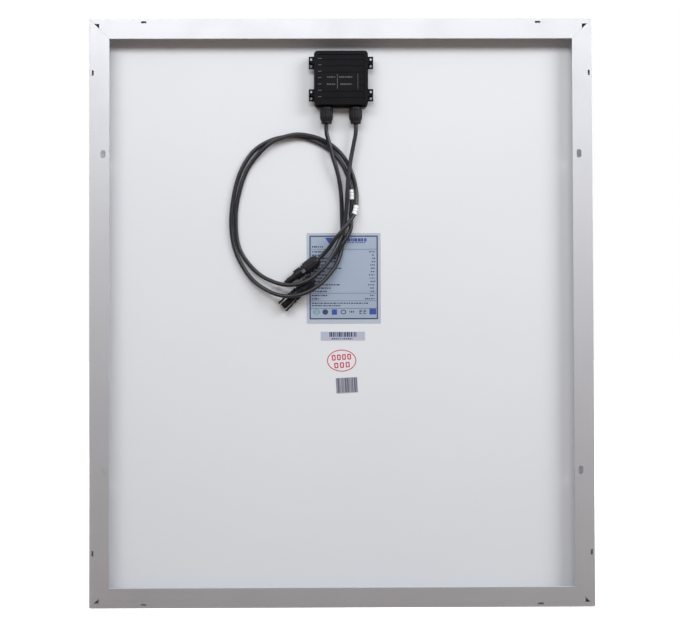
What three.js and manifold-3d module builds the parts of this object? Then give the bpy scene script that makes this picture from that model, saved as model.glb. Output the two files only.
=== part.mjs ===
// A framed photovoltaic panel, modelled as it is assembled: four mitred aluminium rails held by corner keys
// around a glass laminate of four strings of half cells, a junction box on the back sheet, two cable
// glands, and two leads that end in inline connectors, one with a pin and one with a socket.
//
// Millimetres. The origin is the middle of the rear mounting plane, where the four flanges bear on a rack:
// +X to the right as seen from behind, +Y from the rear plane to the glass, +Z up.

import * as THREE from "three";
import { mergeVertices } from "three/addons/utils/BufferGeometryUtils.js";
import Module from "manifold-3d";

const wasm = await Module();
wasm.setup();

// ---- Driving dimensions -----------------------------------------------------------------------------------

const PANEL = { width: 668, height: 780, depth: 30 };

// The rail's section runs from its outer edge inwards (first number) and from the rear plane forwards.
const RAIL = {
  wall: 1.5,
  flangeWidth: 26.5,
  flangeThickness: 1.6,
  lipWidth: 9.2,
  lipThickness: 1.6,
  chamberRear: 10,
  chamberWall: 1.4,
  shelfRear: 20.5,
  shelfThickness: 1.4,
  sideWall: 1.2,
  edgeRadius: 0.4,
  mitreGap: 0.1,
};
const SLOT = { width: 6.5, length: 11, inset: 18, spacing: 420 };
const DRAIN = { width: 2.7, length: 7, inset: 3, fromCorner: 72 };
const CORNER_NOTCH = { near: 6.4, far: 13 };
const KEY = { leg: 36, clearance: 0.3 };

const LAMINATE_INSET = 3.5;
const LAYER_GAP = 0.05;
const BACK_SHEET_REAR = 22.7;
const THICKNESS = { backSheet: 0.35, encapsulant: 0.4, cellLayer: 0.35, glass: 3.2 };
const SEAL = { rim: 1.7, slot: 3.3, clearance: 0.08 };

const CELL = { width: 156, height: 78, chamfer: 9, thickness: 0.2, rows: 9, columns: 4, rowGap: 2.6, columnGap: 3 };
const RIBBON = { count: 5, width: 1.2 };
const BUS = { width: 5, gap: 0.4, secondRow: 7.6, thickness: 0.3 };

const BOX = { x: 0, z: 311.9, lidWidth: 72, lidHeight: 72.5, lidRear: 1.9, wall: 2, cornerRadius: 5 };
const GLAND = { spacing: 39, standOff: 9.8, mouth: 252 };
const LEAD_DIAMETER = 5.5;
const LEAD_STEPS = 80;
const SLEEVE = { length: 13, outer: 7.1, inner: 6.5 };
const CONNECTOR_STAND_OFF = 8.6;
const LEAD_INSIDE_CONNECTOR = 17.5;
const LATCH = { start: 36.3, pivot: 37.5, pivotRadius: 6.5, tip: 57, width: 6 };

// The leads' routes: x, height z, and the stand-off of the lead's middle from the back sheet. Each goes
// down from its gland, once round the loop, and behind its own first turn to a connector.
const LEFT_LEAD = [
  [-19.5, 299.7, 9.8], [-19.5, 262, 9.8], [-19.5, 240, 9.8], [-16.4, 228, 9.6], [-11.2, 208, 9.4],
  [-5.3, 188, 8.4], [-1.3, 168, 5.6], [0.4, 148, 3.4], [0.9, 126.5, 3.1], [1.3, 103.5, 3.1],
  [0.8, 87.5, 3.4], [-4.3, 69, 7], [-14, 53, 12], [-26.7, 38.5, 16.4], [-42.8, 28, 18.9],
  [-60, 22, 19], [-77.5, 21.6, 16.6], [-98.3, 28.8, 10.5], [-121, 46, 4.6], [-141.1, 80.4, 3.1],
  [-147.5, 115.9, 3.1], [-143.3, 160.2, 3.1], [-133.6, 191.7, 3.1], [-117.5, 216, 3.1], [-100, 228.1, 3.1],
  [-81.9, 234.4, 3.1], [-58.5, 236.1, 3.1], [-35, 229.3, 3.1], [-16.9, 218.8, 3.1], [-2.9, 205.1, 3.1],
  [6.9, 187.4, 3.2], [12.6, 166.6, 4], [14.1, 149.1, 4.1], [12.9, 131.6, 4.1], [12.6, 112.3, 6.8],
  [6.4, 98.3, 9.1], [-1.9, 86.3, 9.1], [-11.6, 74.3, 8.8], [-26.7, 56.3, 8.6], [-50.7, 33.6, 8.6],
];
const RIGHT_LEAD = [
  [19.5, 299.7, 9.8], [19.5, 262, 9.8], [19.5, 240, 9.8], [16.8, 225, 9.6], [12.8, 204, 9.6],
  [9.6, 181, 9.8], [6.7, 138.5, 8.9], [4.5, 119.7, 8.9], [1.5, 105.6, 9.6], [-3.5, 93, 12.7],
  [-9.9, 79.6, 16.3], [-18.7, 65, 18.6], [-30, 53, 19.7], [-42, 43.5, 19.8], [-56.8, 37.4, 19.6],
  [-73.5, 36.3, 16.8], [-91.6, 41, 11.5], [-112.8, 53.5, 5.2], [-135.6, 83.7, 3.1], [-141.4, 126.6, 3.1],
  [-134.7, 167.6, 3.1], [-123.5, 195.1, 3.1], [-97.8, 224, 7.6], [-81.1, 232.8, 9.1], [-60.3, 237.8, 9.1],
  [-42.3, 236.2, 7.8], [-24.3, 230.8, 4.2], [-8.2, 220.7, 3.1], [4.9, 206.1, 3.1], [14.5, 186.1, 3.1],
  [19.7, 163.9, 3.1], [20.4, 147.5, 5.4], [17.6, 132.2, 10.2], [10, 119.6, 15], [-0.4, 106.6, 16.4],
  [-9.2, 96.4, 14.2], [-16.6, 85.6, 11], [-23.5, 78.1, 8.9], [-31, 71.1, 8.6], [-45, 60.6, 8.6],
];
const SLEEVE_MIDDLE = { left: 745, right: 735 }; // along each lead from its start

// ---- Finishes ---------------------------------------------------------------------------------------------

const FINISHES = {
  anodisedAluminium: { color: 0xc9c9cc, roughness: 0.42, metalness: 0.9 },
  glass: { color: 0xdfe8ea, roughness: 0.08, metalness: 0, transparent: true, opacity: 0.35 },
  encapsulant: { color: 0xe9ecec, roughness: 0.35, metalness: 0 },
  cell: { color: 0x141b30, roughness: 0.3, metalness: 0.2 },
  tinnedCopper: { color: 0xb9bcc0, roughness: 0.3, metalness: 1 },
  backSheet: { color: 0xe2e4ea, roughness: 0.55, metalness: 0 },
  silicone: { color: 0xd8d9d8, roughness: 0.7, metalness: 0 },
  labelFilm: { color: 0xaab5c6, roughness: 0.35, metalness: 0.3 },
  paperLabel: { color: 0xd3d2de, roughness: 0.6, metalness: 0 },
  blackPlastic: { color: 0x1c1b1d, roughness: 0.5, metalness: 0 },
  blackRubber: { color: 0x151515, roughness: 0.8, metalness: 0 },
  leadSheath: { color: 0x2b2a2e, roughness: 0.55, metalness: 0 },
  whiteSleeve: { color: 0xf0eff2, roughness: 0.5, metalness: 0 },
  brass: { color: 0xb08d4a, roughness: 0.35, metalness: 1 },
};

const panel = new THREE.Group();

function add(name, geometry, finish, parent = panel) {
  const mesh = new THREE.Mesh(geometry, new THREE.MeshStandardMaterial(FINISHES[finish]));
  mesh.name = name;
  parent.add(mesh);
  return mesh;
}

// ---- Solids -----------------------------------------------------------------------------------------------

function merged(geometry) {
  const bare = geometry.clone();
  bare.deleteAttribute("normal");
  bare.deleteAttribute("uv");
  return mergeVertices(bare, 1e-4);
}

function solid(geometry) {
  const welded = merged(geometry);
  return new wasm.Manifold(
    new wasm.Mesh({
      numProp: 3,
      vertProperties: welded.attributes.position.array,
      triVerts: new Uint32Array(welded.index.array),
    }),
  );
}

function geometryOf(manifold) {
  const mesh = manifold.getMesh();
  const geometry = new THREE.BufferGeometry();
  geometry.setAttribute("position", new THREE.BufferAttribute(mesh.vertProperties, 3));
  geometry.setIndex(new THREE.BufferAttribute(mesh.triVerts, 1));
  return geometry;
}

function join(first, ...others) {
  return geometryOf(others.reduce((sum, part) => sum.add(solid(part)), solid(first)));
}

function cut(first, ...tools) {
  return geometryOf(tools.reduce((rest, tool) => rest.subtract(solid(tool)), solid(first)));
}

// A block between two x, two depths y and two heights z.
function block([x0, x1], [y0, y1], [z0, z1]) {
  const box = new THREE.BoxGeometry(x1 - x0, y1 - y0, z1 - z0);
  return box.translate((x0 + x1) / 2, (y0 + y1) / 2, (z0 + z1) / 2);
}

// A flat piece: an outline in x and z, between two depths.
function plate(outline, yRear, yFront, curveSegments = 3) {
  const geometry = new THREE.ExtrudeGeometry(outline, {
    depth: yFront - yRear,
    bevelEnabled: false,
    curveSegments,
  });
  return geometry.rotateX(Math.PI / 2).translate(0, yFront, 0);
}

// A closed outline through corners [x, z, radius]; a corner with a radius is rounded.
function outlineOf(corners, Kind = THREE.Shape) {
  const shape = new Kind();
  corners.forEach(([x, z, radius = 0], i) => {
    const corner = new THREE.Vector2(x, z);
    const before = new THREE.Vector2(...corners.at(i - 1).slice(0, 2));
    const after = new THREE.Vector2(...corners[(i + 1) % corners.length].slice(0, 2));
    const entry = before.sub(corner).setLength(radius).add(corner);
    const exit = after.sub(corner).setLength(radius).add(corner);
    if (i === 0) shape.moveTo(entry.x, entry.y);
    else shape.lineTo(entry.x, entry.y);
    if (radius > 0) shape.quadraticCurveTo(x, z, exit.x, exit.y);
  });
  shape.closePath();
  return shape;
}

function rectangle(width, height, radius = 0, x = 0, z = 0, Kind = THREE.Shape) {
  const w = width / 2;
  const h = height / 2;
  const corners = [[-w, -h], [w, -h], [w, h], [-w, h]];
  return outlineOf(corners.map(([cx, cz]) => [x + cx, z + cz, radius]), Kind);
}

function frameShape(outer, inner) {
  outer.holes.push(inner);
  return outer;
}

// A turned piece about the X axis, from a closed profile of [distance along the axis, radius].
function turned(profile, segments = 24) {
  const points = [...profile, profile[0]].map(([along, radius]) => new THREE.Vector2(radius, along));
  return new THREE.LatheGeometry(points, segments).rotateZ(-Math.PI / 2);
}

// A turned ring or tube about the X axis.
function ring(from, to, innerDiameter, outerDiameter, segments = 24) {
  const inner = innerDiameter / 2;
  const outer = outerDiameter / 2;
  return turned([[from, inner], [from, outer], [to, outer], [to, inner]], segments);
}

// ---- Frame ------------------------------------------------------------------------------------------------

const glassShelf = RAIL.shelfRear + RAIL.shelfThickness;
const lipRear = PANEL.depth - RAIL.lipThickness;

function railSection() {
  const { wall, flangeWidth, flangeThickness, lipWidth, chamberRear, edgeRadius: r } = RAIL;
  const section = outlineOf([
    [0, 0, r], [flangeWidth, 0, r], [flangeWidth, flangeThickness, r], [wall, flangeThickness],
    [wall, chamberRear], [lipWidth, chamberRear], [lipWidth, glassShelf], [wall, glassShelf],
    [wall, lipRear], [lipWidth, lipRear, r], [lipWidth, PANEL.depth, r], [0, PANEL.depth, r],
  ]);
  const chamber = outlineOf(
    [
      [wall, chamberRear + RAIL.chamberWall],
      [wall, RAIL.shelfRear],
      [lipWidth - RAIL.sideWall, RAIL.shelfRear],
      [lipWidth - RAIL.sideWall, chamberRear + RAIL.chamberWall],
    ],
    THREE.Path,
  );
  return frameShape(section, chamber);
}

// A length of a section along Z, both ends mitred at 45 degrees: x is the distance in from the outer edge.
function mitred(section, length, gap) {
  const geometry = new THREE.ExtrudeGeometry(section, { depth: length, bevelEnabled: false, curveSegments: 2 });
  geometry.translate(0, 0, -length / 2);
  const position = geometry.attributes.position;
  for (let i = 0; i < position.count; i += 1) {
    const end = Math.sign(position.getZ(i));
    position.setZ(i, end * (length / 2 - position.getX(i) - gap));
  }
  return geometry;
}

const THROUGH_FLANGE = [-1, RAIL.flangeThickness + 1];

function drainHoles(length) {
  const { width, length: long, inset, fromCorner } = DRAIN;
  return [-1, 1].map((end) => {
    const middle = end * (length / 2 - fromCorner);
    return block([inset, inset + width], THROUGH_FLANGE, [middle - long / 2, middle + long / 2]);
  });
}

function mountingSlots() {
  const half = SLOT.width / 2;
  const straight = SLOT.length / 2 - half;
  return [-1, 1].map((end) => {
    const middle = (end * SLOT.spacing) / 2;
    const slot = new THREE.Shape();
    slot.absarc(SLOT.inset, middle + straight, half, 0, Math.PI);
    slot.absarc(SLOT.inset, middle - straight, half, Math.PI, 2 * Math.PI);
    return plate(slot, ...THROUGH_FLANGE, 6);
  });
}

// The small triangle punched beside each mitre, where the corner key is staked.
function cornerNotches(length) {
  const { near, far } = CORNER_NOTCH;
  const past = 1;
  return [-1, 1].map((end) => {
    const corners = [[near, length / 2 - far], [near, length / 2 - near + past], [far + past, length / 2 - far]];
    const ordered = end > 0 ? corners : corners.reverse();
    return plate(outlineOf(ordered.map(([x, z]) => [x, end * z])), ...THROUGH_FLANGE);
  });
}

// The four sides: where each stands and how it is turned about the Y axis.
const SIDES = [
  { name: "top", length: PANEL.width, turn: Math.PI / 2, at: [0, PANEL.height / 2], rail: "top_rail" },
  { name: "bottom", length: PANEL.width, turn: -Math.PI / 2, at: [0, -PANEL.height / 2], rail: "bottom_rail" },
  { name: "left", length: PANEL.height, turn: 0, at: [-PANEL.width / 2, 0], rail: "left_stile" },
  { name: "right", length: PANEL.height, turn: Math.PI, at: [PANEL.width / 2, 0], rail: "right_stile" },
];

function sealSection() {
  const { clearance, rim, slot } = SEAL;
  const glassFront = LAYERS.glass[1];
  return outlineOf([
    [rim, glassShelf + clearance], [RAIL.lipWidth - 0.3, glassShelf + clearance],
    [RAIL.lipWidth - 0.3, BACK_SHEET_REAR - clearance], [slot, BACK_SHEET_REAR - clearance],
    [slot, glassFront + clearance], [RAIL.lipWidth - 0.3, glassFront + clearance],
    [RAIL.lipWidth - 0.3, lipRear - clearance], [rim, lipRear - clearance],
  ]);
}

function buildFrame() {
  for (const side of SIDES) {
    const group = new THREE.Group();
    group.position.set(side.at[0], 0, side.at[1]);
    group.rotation.y = side.turn;
    panel.add(group);
    const isStile = side.rail.endsWith("stile");
    const holes = [...drainHoles(side.length), ...(isStile ? mountingSlots() : cornerNotches(side.length))];
    const rail = cut(mitred(railSection(), side.length, RAIL.mitreGap), ...holes);
    add(side.rail, rail, "anodisedAluminium", group);
    add(`${side.name}_edge_seal`, mitred(sealSection(), side.length, RAIL.mitreGap), "silicone", group);
  }
}

// An L of solid bar in the rails' chambers at each corner.
function buildCornerKeys() {
  const { leg, clearance } = KEY;
  const near = RAIL.wall + clearance;
  const far = RAIL.lipWidth - RAIL.sideWall - clearance;
  const depths = [RAIL.chamberRear + RAIL.chamberWall + clearance, RAIL.shelfRear - clearance];
  for (const [vertical, top] of [["top", 1], ["bottom", -1]]) {
    for (const [horizontal, right] of [["left", -1], ["right", 1]]) {
      const inward = [[near, near], [near + leg, near], [near + leg, far], [far, far], [far, near + leg], [near, near + leg]];
      const ordered = top * right > 0 ? inward : inward.reverse();
      const corners = ordered.map(([u, v]) => [right * (PANEL.width / 2 - u), top * (PANEL.height / 2 - v)]);
      add(`corner_key_${vertical}_${horizontal}`, plate(outlineOf(corners), ...depths), "anodisedAluminium");
    }
  }
}

// ---- Laminate ---------------------------------------------------------------------------------------------

// The depths between which each layer lies, stacked from the back sheet to the glass.
const LAYERS = {};
{
  let rear = BACK_SHEET_REAR;
  const stack = [
    ["backSheet", THICKNESS.backSheet],
    ["rearEncapsulant", THICKNESS.encapsulant],
    ["cells", THICKNESS.cellLayer],
    ["frontEncapsulant", THICKNESS.encapsulant],
    ["glass", THICKNESS.glass],
  ];
  for (const [layer, thickness] of stack) {
    LAYERS[layer] = [rear, rear + thickness];
    rear += thickness + LAYER_GAP;
  }
}

const cellPitchX = CELL.width + CELL.columnGap;
const cellPitchZ = CELL.height + CELL.rowGap;
const cellFieldHalf = (CELL.rows * cellPitchZ - CELL.rowGap) / 2;
const ribbonEnd = cellFieldHalf + 4.6;
const busRow = [ribbonEnd + BUS.gap, ribbonEnd + BUS.gap + BUS.width];
const TERMINAL_X = [-20, 0, 20];
const TAB = { width: 4, low: 329, high: 331 };
const LEAD_OUT_HOLE = { width: 6, low: 327, high: 333 };

function laminateOutline() {
  return rectangle(PANEL.width - 2 * LAMINATE_INSET, PANEL.height - 2 * LAMINATE_INSET);
}

// A half cell has cut corners on one long side only, so two of them make the octagon they were cut from.
function cellOutline(x, z, cutSide) {
  const w = CELL.width / 2;
  const h = CELL.height / 2;
  const c = CELL.chamfer;
  const corners = [[-w, -h], [w, -h], [w, h - c], [w - c, h], [-w + c, h], [-w, h - c]];
  const placed = corners.map(([cx, cz]) => [x + cx, z + cutSide * cz]);
  return outlineOf(cutSide > 0 ? placed : placed.reverse());
}

function cellString(column) {
  const x = (column - (CELL.columns - 1) / 2) * cellPitchX;
  const rear = LAYERS.cells[0] + LAYER_GAP;
  const depths = [rear, rear + CELL.thickness];
  const cells = [];
  for (let row = 0; row < CELL.rows; row += 1) {
    const z = (row - (CELL.rows - 1) / 2) * cellPitchZ;
    cells.push(plate(cellOutline(x, z, row % 2 ? 1 : -1), ...depths));
  }
  const ribbonPitch = CELL.width / RIBBON.count;
  for (let i = 0; i < RIBBON.count; i += 1) {
    const middle = x + (i - (RIBBON.count - 1) / 2) * ribbonPitch;
    const across = [middle - RIBBON.width / 2, middle + RIBBON.width / 2];
    cells.push(block(across, depths, [-ribbonEnd, ribbonEnd]));
  }
  return join(...cells);
}

// The strip that leads a bus to the junction box behind the cells, and its tab through the back sheet.
function leadOut(x, top) {
  const across = [x - TAB.width / 2, x + TAB.width / 2];
  const rear = LAYERS.rearEncapsulant[0] + LAYER_GAP;
  const strip = [rear, rear + BUS.thickness];
  return [
    block(across, strip, [TAB.low, top]),
    block(across, [rear, LAYERS.cells[1]], [top - BUS.width, top]),
    block(across, [BACK_SHEET_REAR - 9.7, strip[1]], [TAB.low, TAB.high]),
  ];
}

function buildBuses() {
  const depths = LAYERS.cells;
  const stringEnd = 2 * cellPitchX - 2;
  const halfway = cellPitchX + 2;
  const row = busRow;
  const second = row.map((z) => z + BUS.secondRow);
  const innerX = TERMINAL_X[2] - TAB.width / 2;
  for (const [name, side] of [["left", -1], ["right", 1]]) {
    const span = (a, b) => [side * a, side * b].sort((p, q) => p - q);
    const bottom = block(span(2, stringEnd), depths, row.map((z) => -z).reverse());
    add(`bus_ribbon_bottom_${name}`, bottom, "tinnedCopper");
    const top = join(
      block(span(halfway, stringEnd), depths, row),
      block(span(halfway, halfway + BUS.width), depths, [row[0], second[1]]),
      block(span(innerX, halfway + BUS.width), depths, second),
      ...leadOut(side * TERMINAL_X[2], second[1]),
    );
    add(`bus_ribbon_top_${name}`, top, "tinnedCopper");
  }
  const middle = join(block([-halfway + 4, halfway - 4], depths, row), ...leadOut(TERMINAL_X[1], row[1]));
  add("bus_ribbon_top_middle", middle, "tinnedCopper");
}

function buildLaminate() {
  add("front_glass", plate(laminateOutline(), ...LAYERS.glass), "glass");
  add("front_encapsulant", plate(laminateOutline(), ...LAYERS.frontEncapsulant), "encapsulant");
  for (let column = 0; column < CELL.columns; column += 1) {
    add(`cell_string_${column + 1}`, cellString(column), "cell");
  }
  buildBuses();
  const across = (x, width) => [x - width / 2, x + width / 2];
  const channelTop = busRow[1] + BUS.secondRow + 2;
  const through = ([rear, front]) => [rear - 1, front + 1];
  const channels = TERMINAL_X.map((x) =>
    block(across(x, LEAD_OUT_HOLE.width), through(LAYERS.rearEncapsulant), [LEAD_OUT_HOLE.low, channelTop]),
  );
  const slits = TERMINAL_X.map((x) =>
    block(across(x, LEAD_OUT_HOLE.width), through(LAYERS.backSheet), [LEAD_OUT_HOLE.low, LEAD_OUT_HOLE.high]),
  );
  add("rear_encapsulant", cut(plate(laminateOutline(), ...LAYERS.rearEncapsulant), ...channels), "encapsulant");
  add("back_sheet", cut(plate(laminateOutline(), ...LAYERS.backSheet), ...slits), "backSheet");
}

const LABEL_THICKNESS = 0.15;

function buildLabels() {
  const depths = [BACK_SHEET_REAR - LAYER_GAP - LABEL_THICKNESS, BACK_SHEET_REAR - LAYER_GAP];
  add("rating_label", plate(rectangle(99.4, 121.6, 1.5, 3, 45.6), ...depths), "labelFilm");
  add("serial_label", plate(rectangle(59.4, 11.9, 0.8, 1.7, -31.9), ...depths), "paperLabel");
  const sticker = plate(rectangle(29.2, 21, 0.8), ...depths);
  add("batch_sticker", sticker.rotateY(THREE.MathUtils.degToRad(-3)).translate(6.8, 0, -97.7), "paperLabel");
}

// ---- Junction box -----------------------------------------------------------------------------------------

const boxBody = { width: 70.8, height: 73.7, z: BOX.z - 1.05, rear: 10, front: 21.85 };
const boxRim = { width: 68.2, height: 68.7, rear: 6 };
const boxHollow = { width: 64.2, height: 64.7, front: 19.6 };
const FLOOR_SLOT = [[-26, 26], [19, 23], [326, 334]];
const EAR = { out: 42.9, height: 16, depths: [12, 15], offset: 21.75, hole: 4.2, holeOut: 41.4, holeMiddle: 4.5 };
const SPIGOT = { outer: 12.2, from: 9, seat: 16, seatBore: 9.5, bore: 7.2, foot: 23, end: 29 };

// Along a gland or a connector, distances run from the nut's mouth, where the lead comes out.
function glandFrame(x) {
  const group = new THREE.Group();
  group.position.set(x, BACK_SHEET_REAR - GLAND.standOff, GLAND.mouth);
  group.rotation.y = -Math.PI / 2;
  group.updateMatrixWorld(true);
  return group;
}

function glandX() {
  return [["left", -GLAND.spacing / 2], ["right", GLAND.spacing / 2]];
}

function boxBase() {
  const { x, z, cornerRadius } = BOX;
  const parts = [
    plate(rectangle(boxBody.width, boxBody.height, cornerRadius - 0.5, x, boxBody.z), boxBody.rear, boxBody.front),
    plate(rectangle(boxRim.width, boxRim.height, cornerRadius - 1, x, z), boxRim.rear, boxBody.rear + 0.5),
  ];
  const cuts = [
    plate(rectangle(boxHollow.width, boxHollow.height, cornerRadius - 2, x, z), boxRim.rear - 1, boxHollow.front),
    block(...FLOOR_SLOT),
  ];
  for (const side of [-1, 1]) {
    for (const end of [-1, 1]) {
      const middle = z + end * EAR.offset;
      const across = [side * (boxBody.width / 2 - 1), side * EAR.out].sort((a, b) => a - b);
      parts.push(block(across, EAR.depths, [middle - EAR.height / 2, middle + EAR.height / 2]));
      for (const step of [-1, 1]) {
        const hole = middle + step * EAR.holeMiddle;
        const acrossHole = [side * (EAR.holeOut - EAR.hole), side * EAR.holeOut].sort((a, b) => a - b);
        cuts.push(block(acrossHole, [EAR.depths[0] - 1, EAR.depths[1] + 1], [hole - 2.2, hole + 2.2]));
      }
    }
  }
  for (const [, gx] of glandX()) {
    const { matrixWorld } = glandFrame(gx);
    const bar = turned([[SPIGOT.from, 0], [SPIGOT.from, SPIGOT.outer / 2], [SPIGOT.foot, SPIGOT.outer / 2], [SPIGOT.foot, 0]]);
    const seat = turned([[0, 0], [0, SPIGOT.seatBore / 2], [SPIGOT.seat, SPIGOT.seatBore / 2], [SPIGOT.seat, 0]]);
    const bore = turned([[0, 0], [0, SPIGOT.bore / 2], [SPIGOT.end, SPIGOT.bore / 2], [SPIGOT.end, 0]]);
    parts.push(bar.applyMatrix4(matrixWorld));
    cuts.push(seat.applyMatrix4(matrixWorld), bore.applyMatrix4(matrixWorld));
  }
  return cut(join(...parts), ...cuts);
}

// The lid: a plate with a raised border, seven raised ribs, a plain field among them, a skirt that fits
// over the rim, and four barbs that snap into the ears.
const LID = { face: 2.7, under: 4.7, skirtEnd: 9.5, skirtWall: 1.5, border: 5.3, ribs: 7, ribPitch: 8.5, ribHeight: 2.4 };
const LID_FIELD = { x: [-23.4, 23.4], z: [-15.2, 5.6] };
const BARB = { root: 35.8, tip: 41.2, half: 3.2, depths: [5.4, 11.6] };

function boxLid() {
  const { lidWidth: w, lidHeight: h, cornerRadius: r, x, z, lidRear } = BOX;
  const skirt = frameShape(
    rectangle(w, h, r, x, z),
    rectangle(w - 2 * LID.skirtWall, h - 2 * LID.skirtWall, r - 1.2, x, z, THREE.Path),
  );
  const border = frameShape(
    rectangle(w, h, r, x, z),
    rectangle(w - 2 * LID.border, h - 2 * LID.border, 1.5, x, z, THREE.Path),
  );
  const parts = [
    plate(rectangle(w, h, r, x, z), LID.face, LID.under),
    plate(skirt, LID.under - 0.5, LID.skirtEnd),
    plate(border, lidRear, LID.face + 0.5),
  ];
  const ribReach = w / 2 - LID.border + 0.5;
  for (let i = 0; i < LID.ribs; i += 1) {
    const middle = (i - (LID.ribs - 1) / 2) * LID.ribPitch;
    const heights = [z + middle - LID.ribHeight / 2, z + middle + LID.ribHeight / 2];
    const inField = middle > LID_FIELD.z[0] && middle < LID_FIELD.z[1];
    const spans = inField
      ? [[-ribReach, LID_FIELD.x[0]], [LID_FIELD.x[1], ribReach]]
      : [[-ribReach, ribReach]];
    for (const span of spans) parts.push(block(span, [lidRear, LID.face + 0.5], heights));
  }
  for (const side of [-1, 1]) {
    for (const end of [-1, 1]) {
      const middle = z + end * EAR.offset;
      const corners = [[BARB.root, -BARB.half], [BARB.tip, 0], [BARB.root, BARB.half]];
      const ordered = side > 0 ? corners : corners.reverse();
      parts.push(plate(outlineOf(ordered.map(([u, v]) => [side * u, middle + v])), ...BARB.depths));
    }
  }
  return join(...parts);
}

function buildTerminals() {
  const names = ["terminal_left", "terminal_middle", "terminal_right"];
  TERMINAL_X.forEach((x, i) => {
    const low = i === 1 ? 312 : 300;
    add(names[i], block([x - 4.5, x + 4.5], [11.4, boxHollow.front - 0.3], [low, 328]), "brass");
  });
  for (const [name, x] of [["left", -10], ["right", 10]]) {
    const body = turned([[-5.2, 0], [-5.2, 0.6], [-4, 0.6], [-4, 2.7], [4, 2.7], [4, 0.6], [5.2, 0.6], [5.2, 0]], 12);
    add(`bypass_diode_${name}`, body, "blackPlastic").position.set(x, 15, 320);
  }
}

// What both the glands and the connectors clamp the lead with: a nut, and the claw that it carries.
const NUT = { mouthBore: 7.2, floor: 3, clawOuter: 12.3, clawInner: 7, clawFrom: 3.4, clawTo: 8.4 };

function clampNut({ collar, outer, length, hollow, domeFrom, domeTo }) {
  return turned([
    [0, NUT.mouthBore / 2], [0, collar / 2], [domeFrom, collar / 2], [domeFrom, outer / 2 - 1], [domeTo, outer / 2],
    [length, outer / 2], [length, hollow / 2], [NUT.floor, hollow / 2], [NUT.floor, NUT.mouthBore / 2],
  ]);
}

function buildGlands() {
  for (const [side, x] of glandX()) {
    const group = glandFrame(x);
    panel.add(group);
    const nut = clampNut({ collar: 14.2, outer: 17.4, length: 21.4, hollow: 13, domeFrom: 2.5, domeTo: 6.5 });
    add(`gland_nut_${side}`, nut, "blackPlastic", group);
    add(`gland_claw_${side}`, ring(NUT.clawFrom, NUT.clawTo, NUT.clawInner, NUT.clawOuter), "blackPlastic", group);
    add(`gland_seal_${side}`, ring(9.5, 15.5, 6.2, 9), "blackRubber", group);
  }
}

function buildJunctionBox() {
  const { x, z } = BOX;
  const padHole = rectangle(52, 8, 0, 0, 330, THREE.Path);
  add("junction_box_pad", plate(frameShape(rectangle(66, 70, 3, x, z), padHole), 21.9, 22.65), "silicone");
  add("junction_box_base", boxBase(), "blackPlastic");
  const gasket = frameShape(rectangle(68, 68.5, 4, x, z), rectangle(64.8, 65.3, 3, x, z, THREE.Path));
  add("junction_box_gasket", plate(gasket, LID.under + 0.1, boxRim.rear - 0.1), "blackRubber");
  add("junction_box_lid", boxLid(), "blackPlastic");
  buildTerminals();
  buildGlands();
}

// ---- Leads ------------------------------------------------------------------------------------------------

function routeCurve(route) {
  const points = route.map(([x, z, standOff]) => new THREE.Vector3(x, BACK_SHEET_REAR - standOff, z));
  return new THREE.CatmullRomCurve3(points, false, "centripetal");
}

function circle(diameter, sides, Kind = THREE.Shape) {
  const shape = new Kind();
  for (let i = 0; i < sides; i += 1) {
    const angle = (i * 2 * Math.PI) / sides;
    const point = [(diameter / 2) * Math.cos(angle), (diameter / 2) * Math.sin(angle)];
    if (i === 0) shape.moveTo(...point);
    else shape.lineTo(...point);
  }
  shape.closePath();
  return shape;
}

function tubeAlong(curve, section, steps) {
  return new THREE.ExtrudeGeometry(section, { steps, extrudePath: curve, bevelEnabled: false });
}

// The stretch of a curve from one distance along it to another.
function stretch(curve, from, to, points = 5) {
  const total = curve.getLength();
  const along = [...Array(points).keys()].map((i) => (from + ((to - from) * i) / (points - 1)) / total);
  return new THREE.CatmullRomCurve3(along.map((share) => curve.getPointAt(share)), false, "centripetal");
}

function buildLeads() {
  for (const [side, route] of [["left", LEFT_LEAD], ["right", RIGHT_LEAD]]) {
    const curve = routeCurve(route);
    curve.arcLengthDivisions = 800;
    add(`lead_${side}`, tubeAlong(curve, circle(LEAD_DIAMETER, 8), LEAD_STEPS), "leadSheath");
    const middle = SLEEVE_MIDDLE[side];
    const path = stretch(curve, middle - SLEEVE.length / 2, middle + SLEEVE.length / 2);
    const section = frameShape(circle(SLEEVE.outer, 10), circle(SLEEVE.inner, 10, THREE.Path));
    add(`lead_sleeve_${side}`, tubeAlong(path, section, 4), "whiteSleeve");
  }
}

// ---- Connectors -------------------------------------------------------------------------------------------

// A connector lies along the last stretch of its lead, with its nut's mouth a little short of the end.
function connectorFrame(route) {
  const [before, end] = route.slice(-2);
  const direction = Math.atan2(end[1] - before[1], end[0] - before[0]);
  const mouthX = end[0] - LEAD_INSIDE_CONNECTOR * Math.cos(direction);
  const mouthZ = end[1] - LEAD_INSIDE_CONNECTOR * Math.sin(direction);
  const group = new THREE.Group();
  group.position.set(mouthX, BACK_SHEET_REAR - CONNECTOR_STAND_OFF, mouthZ);
  group.rotation.y = -direction;
  panel.add(group);
  return group;
}

// The rear half of a connector body: a threaded spigot under the nut, with a seat for the seal, and a
// shoulder. The front half follows on from the shoulder and comes back through its bore.
const BODY = { spigot: 11.2, from: 8.9, seat: 16.2, seatBore: 9.3, bore: 6.4, shoulder: [22.4, 25.4], shoulderOuter: 14.4 };

function connectorBody(front) {
  const { spigot, from, seat, seatBore, bore, shoulder, shoulderOuter } = BODY;
  return turned([
    [from, seatBore / 2], [from, spigot / 2], [shoulder[0], spigot / 2], [shoulder[0], shoulderOuter / 2],
    [shoulder[1], shoulderOuter / 2], ...front, [20, bore / 2], [seat, bore / 2], [seat, seatBore / 2],
  ]);
}

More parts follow.
